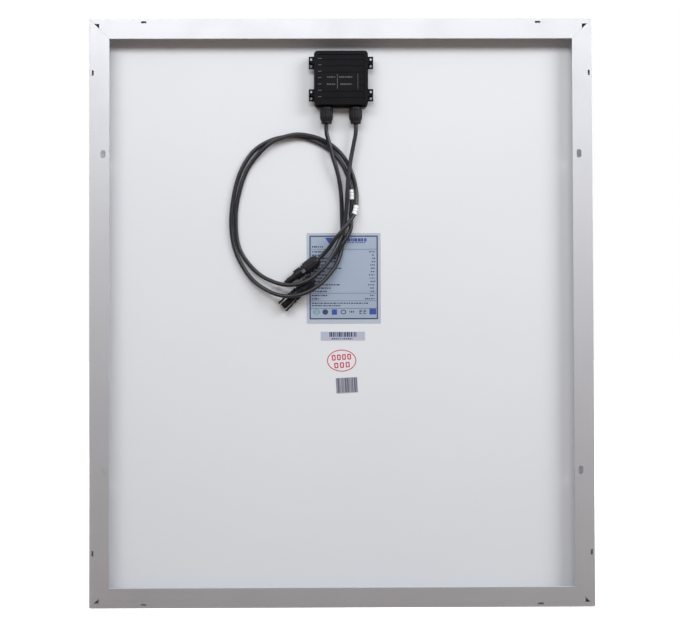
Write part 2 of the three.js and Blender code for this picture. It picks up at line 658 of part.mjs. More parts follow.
function clampEnd(name, group) {
  const nut = clampNut({ collar: 12, outer: 16.4, length: 22, hollow: 11.9, domeFrom: 1.5, domeTo: 6 });
  add(`${name}_nut`, nut, "blackPlastic", group);
  add(`${name}_claw`, ring(NUT.clawFrom, NUT.clawTo, NUT.clawInner, 11.2), "blackPlastic", group);
  add(`${name}_seal`, ring(9.4, 15.4, 6.2, 8.9), "blackRubber", group);
}

function buildSocketConnector() {
  const group = connectorFrame(RIGHT_LEAD);
  clampEnd("socket_connector", group);
  const front = [[25.4, 5.9], [38, 5.9], [38, 3.8], [54, 3.8], [55, 3.3], [55, 2.5], [20, 2.5]];
  add("socket_connector_body", connectorBody(front), "blackPlastic", group);
  const socket = turned([[17.8, 0], [17.8, 2.2], [52, 2.2], [52, 1.5], [40, 1.5], [40, 0]], 16);
  add("socket_connector_contact", socket, "tinnedCopper", group);
  add("socket_connector_ring", ring(38.3, 40.3, 8.1, 10), "blackRubber", group);
}

// The pin connector's two latch arms stand beside its shroud and spring inwards.
function latchArm(side) {
  const { start, tip, width } = LATCH;
  const corners = [[start, 4.7], [39, 4.7], [39, 5.9], [tip, 5.9], [tip, 7.2], [tip - 1.5, 8.3], [tip - 5, 8.3], [tip - 5, 7.9], [start, 7.9]];
  const ordered = side > 0 ? corners : corners.reverse();
  return plate(outlineOf(ordered.map(([u, v]) => [u, side * v])), -width / 2, width / 2);
}

function buildPinConnector() {
  const group = connectorFrame(LEFT_LEAD);
  clampEnd("pin_connector", group);
  const front = [[25.4, 6.2], [36, 6.2], [36, 4.1], [55.5, 4.1], [55.5, 3], [38, 3], [38, 2.5], [20, 2.5]];
  add("pin_connector_body", connectorBody(front), "blackPlastic", group);
  const pin = turned([[17.8, 0], [17.8, 2.2], [40, 2.2], [40, 1.4], [47, 1.4], [48, 0.8], [48, 0]], 16);
  add("pin_connector_contact", pin, "tinnedCopper", group);
  add("pin_connector_latch_upper", latchArm(-1), "blackPlastic", group);
  add("pin_connector_latch_lower", latchArm(1), "blackPlastic", group);
}

// ---- Assembly ---------------------------------------------------------------------------------------------

buildFrame();
buildCornerKeys();
buildLaminate();
buildLabels();
buildJunctionBox();
buildLeads();
buildSocketConnector();
buildPinConnector();

export default panel;
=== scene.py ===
"""Builds the looks of a framed solar panel, seen from behind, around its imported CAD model.

The file is laid out as an add-on: the settings hold the sizes and colours worth changing, each operator
builds one piece or one group of like pieces, and the sidebar panel lists them. Lengths are in metres and
the frame is the CAD model's: the origin is the middle of the rear mounting plane, +X points right as seen
from behind, +Y from the rear towards the glass, and +Z up.
"""

import math
import random

import bmesh
import bpy
from bpy.props import FloatProperty, FloatVectorProperty, IntProperty, PointerProperty
from mathutils import Matrix, Vector


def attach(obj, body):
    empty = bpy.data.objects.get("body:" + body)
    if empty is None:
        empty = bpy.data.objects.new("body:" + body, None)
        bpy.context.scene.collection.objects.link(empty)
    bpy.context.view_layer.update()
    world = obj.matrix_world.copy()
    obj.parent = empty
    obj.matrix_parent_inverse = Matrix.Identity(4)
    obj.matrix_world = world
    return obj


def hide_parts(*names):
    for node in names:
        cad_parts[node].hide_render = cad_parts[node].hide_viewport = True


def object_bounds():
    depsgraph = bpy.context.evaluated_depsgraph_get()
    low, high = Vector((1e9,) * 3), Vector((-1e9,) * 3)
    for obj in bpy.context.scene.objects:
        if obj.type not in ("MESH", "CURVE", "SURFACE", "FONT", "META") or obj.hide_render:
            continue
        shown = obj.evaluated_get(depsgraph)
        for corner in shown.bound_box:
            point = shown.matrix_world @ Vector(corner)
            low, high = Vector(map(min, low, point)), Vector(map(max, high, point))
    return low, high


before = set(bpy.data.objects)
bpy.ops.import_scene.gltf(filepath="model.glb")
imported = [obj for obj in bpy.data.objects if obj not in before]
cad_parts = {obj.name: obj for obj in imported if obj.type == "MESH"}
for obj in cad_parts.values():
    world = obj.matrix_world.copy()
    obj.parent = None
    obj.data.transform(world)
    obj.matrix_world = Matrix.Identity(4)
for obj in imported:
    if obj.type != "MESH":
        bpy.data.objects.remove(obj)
CAD_BOX = [list(corner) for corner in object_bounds()]

bl_info = {
    "name": "Framed Solar Panel",
    "version": (1, 0, 0),
    "blender": (4, 5, 0),
    "location": "3D View > Sidebar > Solar Panel",
    "description": "Builds a framed solar panel with its junction box, leads and connectors",
    "category": "Add Mesh",
}

MM = 0.001
WELD = 1e-7
ROOT = "panel"

# ---- Places and sizes that follow the CAD model --------------------------------------------------

BACK_SHEET_REAR = 22.7
PANEL_HALF = (334.0, 390.0)
GLASS = {"size": (661.0, 773.0), "corner": 1.0, "depths": (23.98, 27.6)}
BOX_MIDDLE = (0.0, 311.9)
EAR_OFFSET = 21.75
GLAND_SPACING = 39.0
GLAND_AXIS_DEPTH = 12.9
GLAND_MOUTH = 252.0
CONNECTOR_DEPTH = 14.1
THREAD_PITCH = 1.5
FINGERS = 10
CONNECTOR_EDGE = 0.2 * MM
RIB_PITCH = 8.5
LEAD_INSIDE_CONNECTOR = 17.5
CELL_PITCH = (159.0, 80.6)
RIBBON_PITCH = 31.2
RIBBONS = 5

# The leads' routes: x, height z, and the stand-off of the lead's middle from the back sheet, in metres.
LEFT_LEAD = [
    (-0.0195, 0.2997, 0.0098), (-0.0195, 0.262, 0.0098), (-0.0195, 0.24, 0.0098),
    (-0.0164, 0.228, 0.0096), (-0.0112, 0.208, 0.0094), (-0.0053, 0.188, 0.0084),
    (-0.0013, 0.168, 0.0056), (0.0004, 0.148, 0.0034), (0.0009, 0.1265, 0.0031),
    (0.0013, 0.1035, 0.0031), (0.0008, 0.0875, 0.0034), (-0.0043, 0.069, 0.007),
    (-0.014, 0.053, 0.012), (-0.0267, 0.0385, 0.0164), (-0.0428, 0.028, 0.0189),
    (-0.06, 0.022, 0.019), (-0.0775, 0.0216, 0.0166), (-0.0983, 0.0288, 0.0105),
    (-0.121, 0.046, 0.0046), (-0.1411, 0.0804, 0.0031), (-0.1475, 0.1159, 0.0031),
    (-0.1433, 0.1602, 0.0031), (-0.1336, 0.1917, 0.0031), (-0.1175, 0.216, 0.0031),
    (-0.1, 0.2281, 0.0031), (-0.0819, 0.2344, 0.0031), (-0.0585, 0.2361, 0.0031),
    (-0.035, 0.2293, 0.0031), (-0.0169, 0.2188, 0.0031), (-0.0029, 0.2051, 0.0031),
    (0.0069, 0.1874, 0.0032), (0.0126, 0.1666, 0.004), (0.0141, 0.1491, 0.0041),
    (0.0129, 0.1316, 0.0041), (0.0126, 0.1123, 0.0068), (0.0064, 0.0983, 0.0091),
    (-0.0019, 0.0863, 0.0091), (-0.0116, 0.0743, 0.0088), (-0.0267, 0.0563, 0.0086),
    (-0.0507, 0.0336, 0.0086),
]
RIGHT_LEAD = [
    (0.0195, 0.2997, 0.0098), (0.0195, 0.262, 0.0098), (0.0195, 0.24, 0.0098),
    (0.0168, 0.225, 0.0096), (0.0128, 0.204, 0.0096), (0.0096, 0.181, 0.0098),
    (0.0067, 0.1385, 0.0089), (0.0045, 0.1197, 0.0089), (0.0015, 0.1056, 0.0096),
    (-0.0035, 0.093, 0.0127), (-0.0099, 0.0796, 0.0163), (-0.0187, 0.065, 0.0186),
    (-0.03, 0.053, 0.0197), (-0.042, 0.0435, 0.0198), (-0.0568, 0.0374, 0.0196),
    (-0.0735, 0.0363, 0.0168), (-0.0916, 0.041, 0.0115), (-0.1128, 0.0535, 0.0052),
    (-0.1356, 0.0837, 0.0031), (-0.1414, 0.1266, 0.0031), (-0.1347, 0.1676, 0.0031),
    (-0.1235, 0.1951, 0.0031), (-0.0978, 0.224, 0.0076), (-0.0811, 0.2328, 0.0091),
    (-0.0603, 0.2378, 0.0091), (-0.0423, 0.2362, 0.0078), (-0.0243, 0.2308, 0.0042),
    (-0.0082, 0.2207, 0.0031), (0.0049, 0.2061, 0.0031), (0.0145, 0.1861, 0.0031),
    (0.0197, 0.1639, 0.0031), (0.0204, 0.1475, 0.0054), (0.0176, 0.1322, 0.0102),
    (0.01, 0.1196, 0.015), (-0.0004, 0.1066, 0.0164), (-0.0092, 0.0964, 0.0142),
    (-0.0166, 0.0856, 0.011), (-0.0235, 0.0781, 0.0089), (-0.031, 0.0711, 0.0086),
    (-0.045, 0.0606, 0.0086),
]
ROUTES = {"left": LEFT_LEAD, "right": RIGHT_LEAD}
# How far along its lead the middle of each sleeve is, in metres.
SLEEVE_MIDDLE = {"left": 0.745, "right": 0.735}
# Points of a lead's curve for each span of its route.
CURVE_STEPS = 12


# ---- Settings ------------------------------------------------------------------------------------


def colour(name, description, default):
    return FloatVectorProperty(
        name=name, description=description, default=default, size=3, min=0.0, max=1.0, subtype="COLOR"
    )


def length(name, description, default, low=0.0, high=1.0):
    return FloatProperty(
        name=name, description=description, default=default, min=low, max=high, precision=5, unit="LENGTH"
    )


def number(name, description, default, low, high):
    return IntProperty(name=name, description=description, default=default, min=low, max=high)


class SolarPanelSettings(bpy.types.PropertyGroup):
    """Sizes and colours of the panel that a user would change."""

    metal: colour("Frame metal", "Colour of the anodised aluminium", (0.63, 0.635, 0.66))
    sheet: colour("Back sheet", "Colour of the white back sheet", (0.765, 0.785, 0.815))
    film: colour("Rating label", "Colour of the metallic label film", (0.40, 0.48, 0.60))
    paper: colour("Paper labels", "Colour of the small paper labels", (0.47, 0.49, 0.60))
    plastic: colour("Moulded plastic", "Colour of the junction box and connectors", (0.0075, 0.007, 0.0085))
    sheath: colour("Lead sheath", "Colour of the leads' outer sheath", (0.015, 0.015, 0.019))
    silicon: colour("Cells", "Colour of the coated silicon cells", (0.006, 0.012, 0.045))
    ink: colour("Label ink", "Colour of the dark print on the labels", (0.035, 0.05, 0.12))
    stamp: colour("Stamp ink", "Colour of the inspection stamp", (0.56, 0.02, 0.06))
    lead_diameter: length("Lead diameter", "Diameter of each lead over its sheath", 5.5 * MM, 0.002, 0.012)
    edge: length("Moulded edge", "Rounding of the moulded plastic's edges", 0.35 * MM, 0.0, 0.002)
    print_thickness: length("Print thickness", "Height of print over its label", 0.04 * MM, 0.00001, 0.0005)
    lid_ribs: number("Lid ribs", "Number of ribs across the lid", 7, 1, 15)
    flutes: number("Nut flutes", "Number of grip flutes round each nut", 12, 4, 24)


def settings():
    return bpy.context.scene.solar_panel


# ---- Mesh building -------------------------------------------------------------------------------


def point(x, y, z):
    """A point given in millimetres."""
    return Vector((x * MM, y * MM, z * MM))


def loft(bm, rings, capped=True):
    """Skins rings of equally many points, and closes both ends, or joins the last ring to the first."""
    made = [[bm.verts.new(p) for p in ring] for ring in rings]
    count = len(made[0])
    following = made[1:] if capped else made[1:] + made[:1]
    for a, b in zip(made, following):
        for i in range(count):
            j = (i + 1) % count
            bm.faces.new((a[i], a[j], b[j], b[i]))
    if capped:
        bm.faces.new(list(reversed(made[0])))
        bm.faces.new(made[-1])


def prism(bm, outline, depths, place=None):
    """A plate: an outline in x and z, in millimetres, between two depths y, in a given frame."""
    place = place or Matrix()
    loft(bm, [[place @ point(x, y, z) for x, z in outline] for y in depths])


def block(bm, xs, ys, zs, place=None):
    """A block between two x, two y and two z, in millimetres, in a given frame."""
    prism(bm, [(xs[0], zs[0]), (xs[1], zs[0]), (xs[1], zs[1]), (xs[0], zs[1])], ys, place)


def rounded(width, height, radius, middle=(0.0, 0.0), steps=5):
    """The outline of a rounded rectangle, in millimetres."""
    corners = ((1, -1, -90), (1, 1, 0), (-1, 1, 90), (-1, -1, 180))
    outline = []
    for side, end, start in corners:
        ox = middle[0] + side * (width / 2 - radius)
        oz = middle[1] + end * (height / 2 - radius)
        for step in range(steps + 1):
            angle = math.radians(start + 90 * step / steps)
            outline.append((ox + radius * math.cos(angle), oz + radius * math.sin(angle)))
    return outline


def ellipse(width, height, middle, count=48):
    turn = [2 * math.pi * i / count for i in range(count)]
    return [(middle[0] + width / 2 * math.cos(a), middle[1] + height / 2 * math.sin(a)) for a in turn]


def tilted(outline, degrees, middle):
    """An outline turned about its own origin and moved to a middle."""
    cos, sin = math.cos(math.radians(degrees)), math.sin(math.radians(degrees))
    return [(middle[0] + u * cos - v * sin, middle[1] + u * sin + v * cos) for u, v in outline]


def ring_plate(bm, outer, inner, depths):
    """A plate between two outlines with the same number of points."""
    near, far = depths
    rings = ((outer, near), (outer, far), (inner, far), (inner, near))
    loft(bm, [[point(x, y, z) for x, z in outline] for outline, y in rings], capped=False)


def turn(bm, profile, place, segments=48, shape=None, sector=None):
    """Turns a closed profile of (distance along, radius) in millimetres about the X axis of a matrix.

    shape(along, radius, angle) may change a radius, and sector gives a part turn's first and last angle.
    """
    first, last = sector or (0.0, 2 * math.pi)
    steps = segments if sector is None else segments + 1
    rings = []
    for i in range(steps):
        angle = first + (last - first) * i / segments
        ring = []
        for along, radius in profile:
            r = shape(along, radius, angle) if shape else radius
            ring.append(place @ point(along, -r * math.cos(angle), r * math.sin(angle)))
        rings.append(ring)
    loft(bm, rings, capped=sector is not None)


def place_along(origin, direction):
    """A matrix whose X axis runs along a direction in the x-z plane, from an origin, in metres."""
    x = Vector((direction[0], 0.0, direction[1])).normalized()
    y = Vector((0.0, 1.0, 0.0))
    z = x.cross(y)
    matrix = Matrix((x, y, z)).transposed().to_4x4()
    matrix.translation = origin
    return matrix


def gland_place(x):
    return place_along(point(x, GLAND_AXIS_DEPTH, GLAND_MOUTH), (0.0, 1.0))


def connector_place(route):
    """A connector's frame: its nut's mouth is a little short of the lead's end."""
    before, end = route[-2], route[-1]
    direction = Vector((end[0] - before[0], end[1] - before[1])).normalized()
    mouth = Vector((end[0], end[1])) - direction * LEAD_INSIDE_CONNECTOR * MM
    return place_along(Vector((mouth.x, CONNECTOR_DEPTH * MM, mouth.y)), direction)


def finish_piece(name, bm, look, body, replaces=(), bevel=0.0, sharp=35.0):
    """Makes a piece of a bmesh: shaded smooth up to a sharp angle, riding on a body, with its material."""
    bmesh.ops.remove_doubles(bm, verts=bm.verts, dist=WELD)
    bmesh.ops.recalc_face_normals(bm, faces=bm.faces)
    for face in bm.faces:
        face.smooth = True
    for edge in bm.edges:
        edge.smooth = len(edge.link_faces) == 2 and edge.calc_face_angle(0.0) < math.radians(sharp)
    mesh = bpy.data.meshes.new(name)
    bm.to_mesh(mesh)
    bm.free()
    mesh.materials.append(material(look))
    piece = bpy.data.objects.new(name, mesh)
    bpy.context.scene.collection.objects.link(piece)
    if bevel:
        modifier = piece.modifiers.new("Rounded edges", "BEVEL")
        modifier.width = bevel
        modifier.segments = 2
        modifier.limit_method = "ANGLE"
        modifier.angle_limit = math.radians(sharp)
        modifier.harden_normals = True
    settle(piece, body, replaces)


def settle(piece, body, replaces=()):
    """Puts a piece on its body and hides the CAD nodes that it stands for."""
    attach(piece, body)
    if replaces:
        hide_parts(*replaces)


# ---- Routes --------------------------------------------------------------------------------------


def route_points(route):
    return [Vector((x, BACK_SHEET_REAR * MM - off, z)) for x, z, off in route]


def smooth_line(points):
    """A centripetal Catmull-Rom curve through the points, as the CAD model's leads follow it."""
    ends = [points[0] * 2 - points[1], *points, points[-1] * 2 - points[-2]]
    line = []
    for p0, p1, p2, p3 in zip(ends, ends[1:], ends[2:], ends[3:]):
        d0, d1, d2 = (math.sqrt((b - a).length) for a, b in ((p0, p1), (p1, p2), (p2, p3)))
        m1 = ((p1 - p0) / d0 - (p2 - p0) / (d0 + d1) + (p2 - p1) / d1) * d1
        m2 = ((p2 - p1) / d1 - (p3 - p1) / (d1 + d2) + (p3 - p2) / d2) * d1
        for step in range(CURVE_STEPS):
            t = step / CURVE_STEPS
            line.append(
                p1
                + m1 * t
                + (-3 * p1 + 3 * p2 - 2 * m1 - m2) * t**2
                + (2 * p1 - 2 * p2 + m1 + m2) * t**3
            )
    line.append(points[-1])
    return line


def stretch(line, start, end, count):
    """Evenly spaced points of a line between two distances along it."""
    wanted = [start + (end - start) * i / (count - 1) for i in range(count)]
    found = []
    gone = 0.0
    for a, b in zip(line, line[1:]):
        step = (b - a).length
        while wanted and gone + step >= wanted[0]:
            found.append(a.lerp(b, (wanted.pop(0) - gone) / step))
        gone += step
    return found


def tube(bm, line, outer, inner, sides=20):
    """A hollow tube along a line, with radii in metres."""
    across = Vector((0.0, 1.0, 0.0))
    angles = [2 * math.pi * k / sides for k in range(sides)]
    rings = []
    loops = []
    for i, middle in enumerate(line):
        ahead = (line[min(i + 1, len(line) - 1)] - line[max(i - 1, 0)]).normalized()
        u = (across - ahead * across.dot(ahead)).normalized()
        loops.append((middle, u, ahead.cross(u)))
    for radius, order in ((outer, loops), (inner, list(reversed(loops)))):
        for middle, u, v in order:
            rings.append([middle + (u * math.cos(a) + v * math.sin(a)) * radius for a in angles])
    loft(bm, rings, capped=False)


def lead_curve(name, line, radius, look):
    curve = bpy.data.curves.new(name, "CURVE")
    curve.dimensions = "3D"
    curve.bevel_depth = radius
    curve.bevel_resolution = 5
    curve.use_fill_caps = True
    spline = curve.splines.new("POLY")
    spline.points.add(len(line) - 1)
    for target, place in zip(spline.points, line):
        target.co = (*place, 1.0)
    spline.use_smooth = True
    curve.materials.append(material(look))
    piece = bpy.data.objects.new(name, curve)
    bpy.context.scene.collection.objects.link(piece)
    return piece


# ---- Shader node groups --------------------------------------------------------------------------


def node(tree, kind, inputs=None, **properties):
    made = tree.nodes.new(kind)
    for name, value in properties.items():
        setattr(made, name, value)
    for name, value in (inputs or {}).items():
        socket = made.inputs[name]
        if isinstance(value, bpy.types.NodeSocket):
            tree.links.new(value, socket)
        else:
            socket.default_value = value
    return made


def math_node(tree, operation, a, b):
    return node(tree, "ShaderNodeMath", {0: a, 1: b}, operation=operation).outputs[0]


def map_range(tree, value, low, high, to_low, to_high):
    inputs = {"Value": value, "From Min": low, "From Max": high, "To Min": to_low, "To Max": to_high}
    return node(tree, "ShaderNodeMapRange", inputs, clamp=True).outputs["Result"]


def new_group(name, inputs, outputs):
    """A shader node group with (name, socket type, default) inputs and named float outputs."""
    tree = bpy.data.node_groups.new(name, "ShaderNodeTree")
    for label, kind, default in inputs:
        socket = tree.interface.new_socket(name=label, in_out="INPUT", socket_type=kind)
        if default is not None:
            socket.default_value = default
    for label in outputs:
        tree.interface.new_socket(name=label, in_out="OUTPUT", socket_type="NodeSocketFloat")
    return tree, tree.nodes.new("NodeGroupInput").outputs, tree.nodes.new("NodeGroupOutput").inputs


def blend(tree, a, share_a, b, share_b):
    """The sum of two values, each times its share."""
    part_a = math_node(tree, "MULTIPLY", a, share_a)
    part_b = math_node(tree, "MULTIPLY", b, share_b)
    return math_node(tree, "ADD", part_a, part_b)


def noise(tree, vector, scale, detail=3.0, roughness=0.5):
    inputs = {"Vector": vector, "Scale": scale, "Detail": detail, "Roughness": roughness}
    return node(tree, "ShaderNodeTexNoise", inputs).outputs["Fac"]


def group_grain():
    """Fine moulded grain: small pits over a softer unevenness."""
    tree, given, out = new_group(
        "Moulded Grain",
        [("Vector", "NodeSocketVector", None), ("Scale", "NodeSocketFloat", 900.0)],
        ["Height", "Tone"],
    )
    fine = noise(tree, given["Vector"], given["Scale"], 4.0, 0.6)
    cells = node(tree, "ShaderNodeTexVoronoi", {"Vector": given["Vector"], "Scale": given["Scale"]})
    soft = noise(tree, given["Vector"], 35.0, 2.0)
    height = math_node(tree, "ADD", fine, math_node(tree, "MULTIPLY", cells.outputs["Distance"], 0.6))
    tree.links.new(height, out["Height"])
    tree.links.new(blend(tree, soft, 0.7, fine, 0.3), out["Tone"])
    return tree


def group_drawn():
    """The long fine lines that a die leaves on an extrusion, stretched by the vector that feeds it."""
    tree, given, out = new_group(
        "Drawn Lines",
        [("Vector", "NodeSocketVector", None), ("Stretch", "NodeSocketVector", (1.0, 1.0, 1.0))],
        ["Height", "Tone"],
    )
    inputs = {0: given["Vector"], 1: given["Stretch"]}
    scaled = node(tree, "ShaderNodeVectorMath", inputs, operation="MULTIPLY").outputs[0]
    lines = noise(tree, scaled, 1.0, 5.0, 0.65)
    bands = noise(tree, scaled, 0.18, 2.0)
    tree.links.new(lines, out["Height"])
    tree.links.new(blend(tree, lines, 0.5, bands, 0.5), out["Tone"])
    return tree


def group_marks():
    """Smudges and specks from handling, as a mask."""
    tree, given, out = new_group(
        "Handling Marks",
        [("Vector", "NodeSocketVector", None), ("Scale", "NodeSocketFloat", 12.0)],
        ["Smudge", "Speck"],
    )
    broad = noise(tree, given["Vector"], given["Scale"], 6.0, 0.62)
    tree.links.new(map_range(tree, broad, 0.45, 0.75, 0.0, 1.0), out["Smudge"])
    specks = noise(tree, given["Vector"], math_node(tree, "MULTIPLY", given["Scale"], 45.0), 1.0)
    tree.links.new(map_range(tree, specks, 0.72, 0.78, 0.0, 1.0), out["Speck"])
    return tree


def group_stripes():
    """A stripe of some width at every pitch along one coordinate, with soft sides."""
    tree, given, out = new_group(
        "Stripes",
        [
            ("Coordinate", "NodeSocketFloat", 0.0),
            ("Pitch", "NodeSocketFloat", 0.01),
            ("Width", "NodeSocketFloat", 0.001),
            ("Offset", "NodeSocketFloat", 0.0),
        ],
        ["Mask"],
    )
    shifted = math_node(tree, "ADD", given["Coordinate"], given["Offset"])
    phase = math_node(tree, "PINGPONG", shifted, math_node(tree, "MULTIPLY", given["Pitch"], 0.5))
    inner = math_node(tree, "MULTIPLY", given["Width"], 0.42)
    outer = math_node(tree, "MULTIPLY", given["Width"], 0.58)
    tree.links.new(map_range(tree, phase, inner, outer, 1.0, 0.0), out["Mask"])
    return tree


GROUPS = {
    "Moulded Grain": group_grain,
    "Drawn Lines": group_drawn,
    "Handling Marks": group_marks,
    "Stripes": group_stripes,
}


def use_group(tree, name, inputs):
    made = tree.nodes.new("ShaderNodeGroup")
    made.node_tree = bpy.data.node_groups.get(name) or GROUPS[name]()
    for label, value in inputs.items():
        if isinstance(value, bpy.types.NodeSocket):
            tree.links.new(value, made.inputs[label])
        else:
            made.inputs[label].default_value = value
    return made.outputs


# ---- Materials -----------------------------------------------------------------------------------


class Finish:
    """A material's tree with its principled shader, and the piece's own coordinates."""

    def __init__(self, name, roughness=0.5, metallic=0.0):
        self.material = bpy.data.materials.new(name)
        self.material.use_nodes = True
        self.tree = self.material.node_tree
        self.shader = self.tree.nodes["Principled BSDF"]
        self.shader.inputs["Roughness"].default_value = roughness
        self.shader.inputs["Metallic"].default_value = metallic
        self.place = self.tree.nodes.new("ShaderNodeTexCoord").outputs["Object"]

    def set(self, name, value):
        if isinstance(value, bpy.types.NodeSocket):
            self.tree.links.new(value, self.shader.inputs[name])
        elif name.endswith("Color"):
            self.shader.inputs[name].default_value = (*value[:3], 1.0)
        else:
            self.shader.inputs[name].default_value = value

    def mix(self, factor, a, b):
        made = node(self.tree, "ShaderNodeMix", data_type="RGBA")
        self.tree.links.new(factor, made.inputs[0])
        for socket, value in ((made.inputs[6], a), (made.inputs[7], b)):
            if isinstance(value, bpy.types.NodeSocket):
                self.tree.links.new(value, socket)
            else:
                socket.default_value = (*value[:3], 1.0)
        return made.outputs[2]

    def bump(self, height, distance, strength=0.6):
        inputs = {"Height": height, "Distance": distance, "Strength": strength}
        made = node(self.tree, "ShaderNodeBump", inputs)
        self.set("Normal", made.outputs["Normal"])

    def range(self, value, low, high, to_low, to_high):
        return map_range(self.tree, value, low, high, to_low, to_high)

    def group(self, name, **inputs):
        """A shared group's outputs; all but the stripes are fed with the piece's own coordinates."""
        if name != "Stripes":
            inputs["Vector"] = self.place
        return use_group(self.tree, name, inputs)

    def axes(self):
        return node(self.tree, "ShaderNodeSeparateXYZ", {0: self.place}).outputs


def shade(rgb, factor):
    return tuple(min(1.0, c * factor) for c in rgb[:3])


def anodised(name, along):
    """Natural anodised aluminium with die lines along its length."""
    finish = Finish(name, metallic=1.0)
    base = settings().metal
    across = 2600.0
    scale = (4.0, across, across) if along == "x" else (across, across, 4.0)
    lines = finish.group("Drawn Lines", Stretch=scale)
    marks = finish.group("Handling Marks", Scale=9.0)
    tone = finish.mix(lines["Tone"], shade(base, 0.93), shade(base, 1.05))
    dull = finish.range(marks["Smudge"], 0, 1, 0, 0.25)
    finish.set("Base Color", finish.mix(dull, tone, shade(base, 0.84)))
    streak = finish.range(lines["Tone"], 0.3, 0.7, 0.49, 0.58)
    smudge = finish.range(marks["Smudge"], 0, 1, 0.0, 0.06)
    finish.set("Roughness", math_node(finish.tree, "ADD", streak, smudge))
    finish.bump(lines["Height"], 0.02 * MM, 0.35)
    return finish.material


def moulded(name, base, roughness=0.46, grain=1100.0, depth=0.03 * MM, specular=0.4, dust=0.35):
    """Moulded plastic with a fine grain."""
    finish = Finish(name)
    pits = finish.group("Moulded Grain", Scale=grain)
    marks = finish.group("Handling Marks", Scale=30.0)
    tone = finish.mix(pits["Tone"], shade(base, 0.8), shade(base, 1.25))
    specks = finish.range(marks["Speck"], 0, 1, 0, dust)
    finish.set("Base Color", finish.mix(specks, tone, (0.12, 0.115, 0.11)))
    finish.set("Roughness", finish.range(pits["Tone"], 0.3, 0.7, roughness - 0.06, roughness + 0.08))
    finish.set("Specular IOR Level", specular)
    finish.bump(pits["Height"], depth, 0.5)
    return finish.material


def sheath(name):
    """A satin cable jacket with a soft unevenness and dull smudges."""
    finish = Finish(name)
    base = settings().sheath
    pits = finish.group("Moulded Grain", Scale=420.0)
    marks = finish.group("Handling Marks", Scale=18.0)
    tone = finish.mix(pits["Tone"], shade(base, 0.75), shade(base, 1.3))
    dull = finish.range(marks["Smudge"], 0, 1, 0, 0.3)
    finish.set("Base Color", finish.mix(dull, tone, (0.075, 0.072, 0.075)))
    finish.set("Roughness", finish.range(marks["Smudge"], 0, 1, 0.34, 0.46))
    finish.set("Specular IOR Level", 0.5)
    finish.bump(pits["Height"], 0.03 * MM, 0.35)
    return finish.material


def rubber(name, base, roughness=0.75):
    finish = Finish(name)
    pits = finish.group("Moulded Grain", Scale=700.0)
    finish.set("Base Color", finish.mix(pits["Tone"], shade(base, 0.8), shade(base, 1.2)))
    finish.set("Roughness", finish.range(pits["Tone"], 0.3, 0.7, roughness - 0.05, roughness + 0.1))
    finish.bump(pits["Height"], 0.05 * MM, 0.5)
    return finish.material


def back_sheet(name):
    """White film: a slight sheen, uneven tone, and the faint relief of the cells and ribbons under it."""
    finish = Finish(name)
    base = settings().sheet
    x, _, z = finish.axes()
    px, pz = (pitch * MM for pitch in CELL_PITCH)
    relief_x = finish.group("Stripes", Coordinate=x, Pitch=px, Width=3.4 * MM)["Mask"]
    relief_z = finish.group("Stripes", Coordinate=z, Pitch=pz, Width=3.0 * MM, Offset=pz / 2)["Mask"]
    grid = math_node(finish.tree, "MAXIMUM", relief_x, relief_z)
    broad = noise(finish.tree, finish.place, 5.0, 3.0)
    fine = finish.group("Moulded Grain", Scale=260.0)
    marks = finish.group("Handling Marks", Scale=6.0)
    tone = finish.mix(broad, shade(base, 0.975), shade(base, 1.02))
    dull = finish.range(marks["Smudge"], 0, 1, 0, 0.08)
    smudged = finish.mix(dull, tone, (0.70, 0.70, 0.70))
    finish.set("Base Color", finish.mix(finish.range(grid, 0, 1, 0, 0.05), smudged, shade(base, 0.93)))
    finish.set("Roughness", finish.range(marks["Smudge"], 0, 1, 0.42, 0.55))
    soft = math_node(finish.tree, "MULTIPLY", fine["Height"], 0.25)
    height = math_node(finish.tree, "SUBTRACT", soft, grid)
    finish.bump(height, 0.03 * MM, 0.4)
    return finish.material


def encapsulant(name):
    finish = Finish(name, roughness=0.4)
    broad = noise(finish.tree, finish.place, 40.0, 2.0)
    finish.set("Base Color", finish.mix(broad, (0.80, 0.81, 0.82), (0.86, 0.87, 0.88)))
    return finish.material


def cell_coat(name):
    """Coated silicon crossed by fine printed fingers, with tinned ribbons let into each cell."""
    finish = Finish(name)
    base = settings().silicon
    x, _, z = finish.axes()
    start = 2 * CELL_PITCH[0] * MM
    inside = math_node(finish.tree, "ADD", x, start)
    column = math_node(finish.tree, "MODULO", inside, CELL_PITCH[0] * MM)
    half_gap = (CELL_PITCH[0] - RIBBONS * RIBBON_PITCH) / 2 * MM
    within = math_node(finish.tree, "SUBTRACT", column, half_gap)
    pitch = RIBBON_PITCH * MM
    stripes = finish.group("Stripes", Coordinate=within, Pitch=pitch, Width=1.2 * MM, Offset=pitch / 2)
    ribbons = stripes["Mask"]
    fingers = finish.group("Stripes", Coordinate=z, Pitch=1.55 * MM, Width=0.12 * MM)["Mask"]
    broad = noise(finish.tree, finish.place, 7.0, 2.0)
    fine = noise(finish.tree, finish.place, 1500.0, 2.0)
    blue = finish.mix(broad, shade(base, 0.75), shade(base, 1.35))
    speckled = finish.mix(finish.range(fine, 0.4, 0.7, 0, 0.25), blue, (0.012, 0.022, 0.06))
    printed = finish.mix(finish.range(fingers, 0, 1, 0, 0.5), speckled, (0.30, 0.32, 0.36))
    finish.set("Base Color", finish.mix(ribbons, printed, (0.62, 0.63, 0.65)))
    finish.set("Roughness", finish.range(ribbons, 0, 1, 0.38, 0.3))
    finish.set("Metallic", finish.range(ribbons, 0, 1, 0.15, 0.9))
    finish.set("Coat Weight", 0.4)
    finish.set("Coat Roughness", 0.15)
    height = math_node(finish.tree, "ADD", ribbons, math_node(finish.tree, "MULTIPLY", fine, 0.2))
    finish.bump(height, 0.04 * MM, 0.4)
    return finish.material


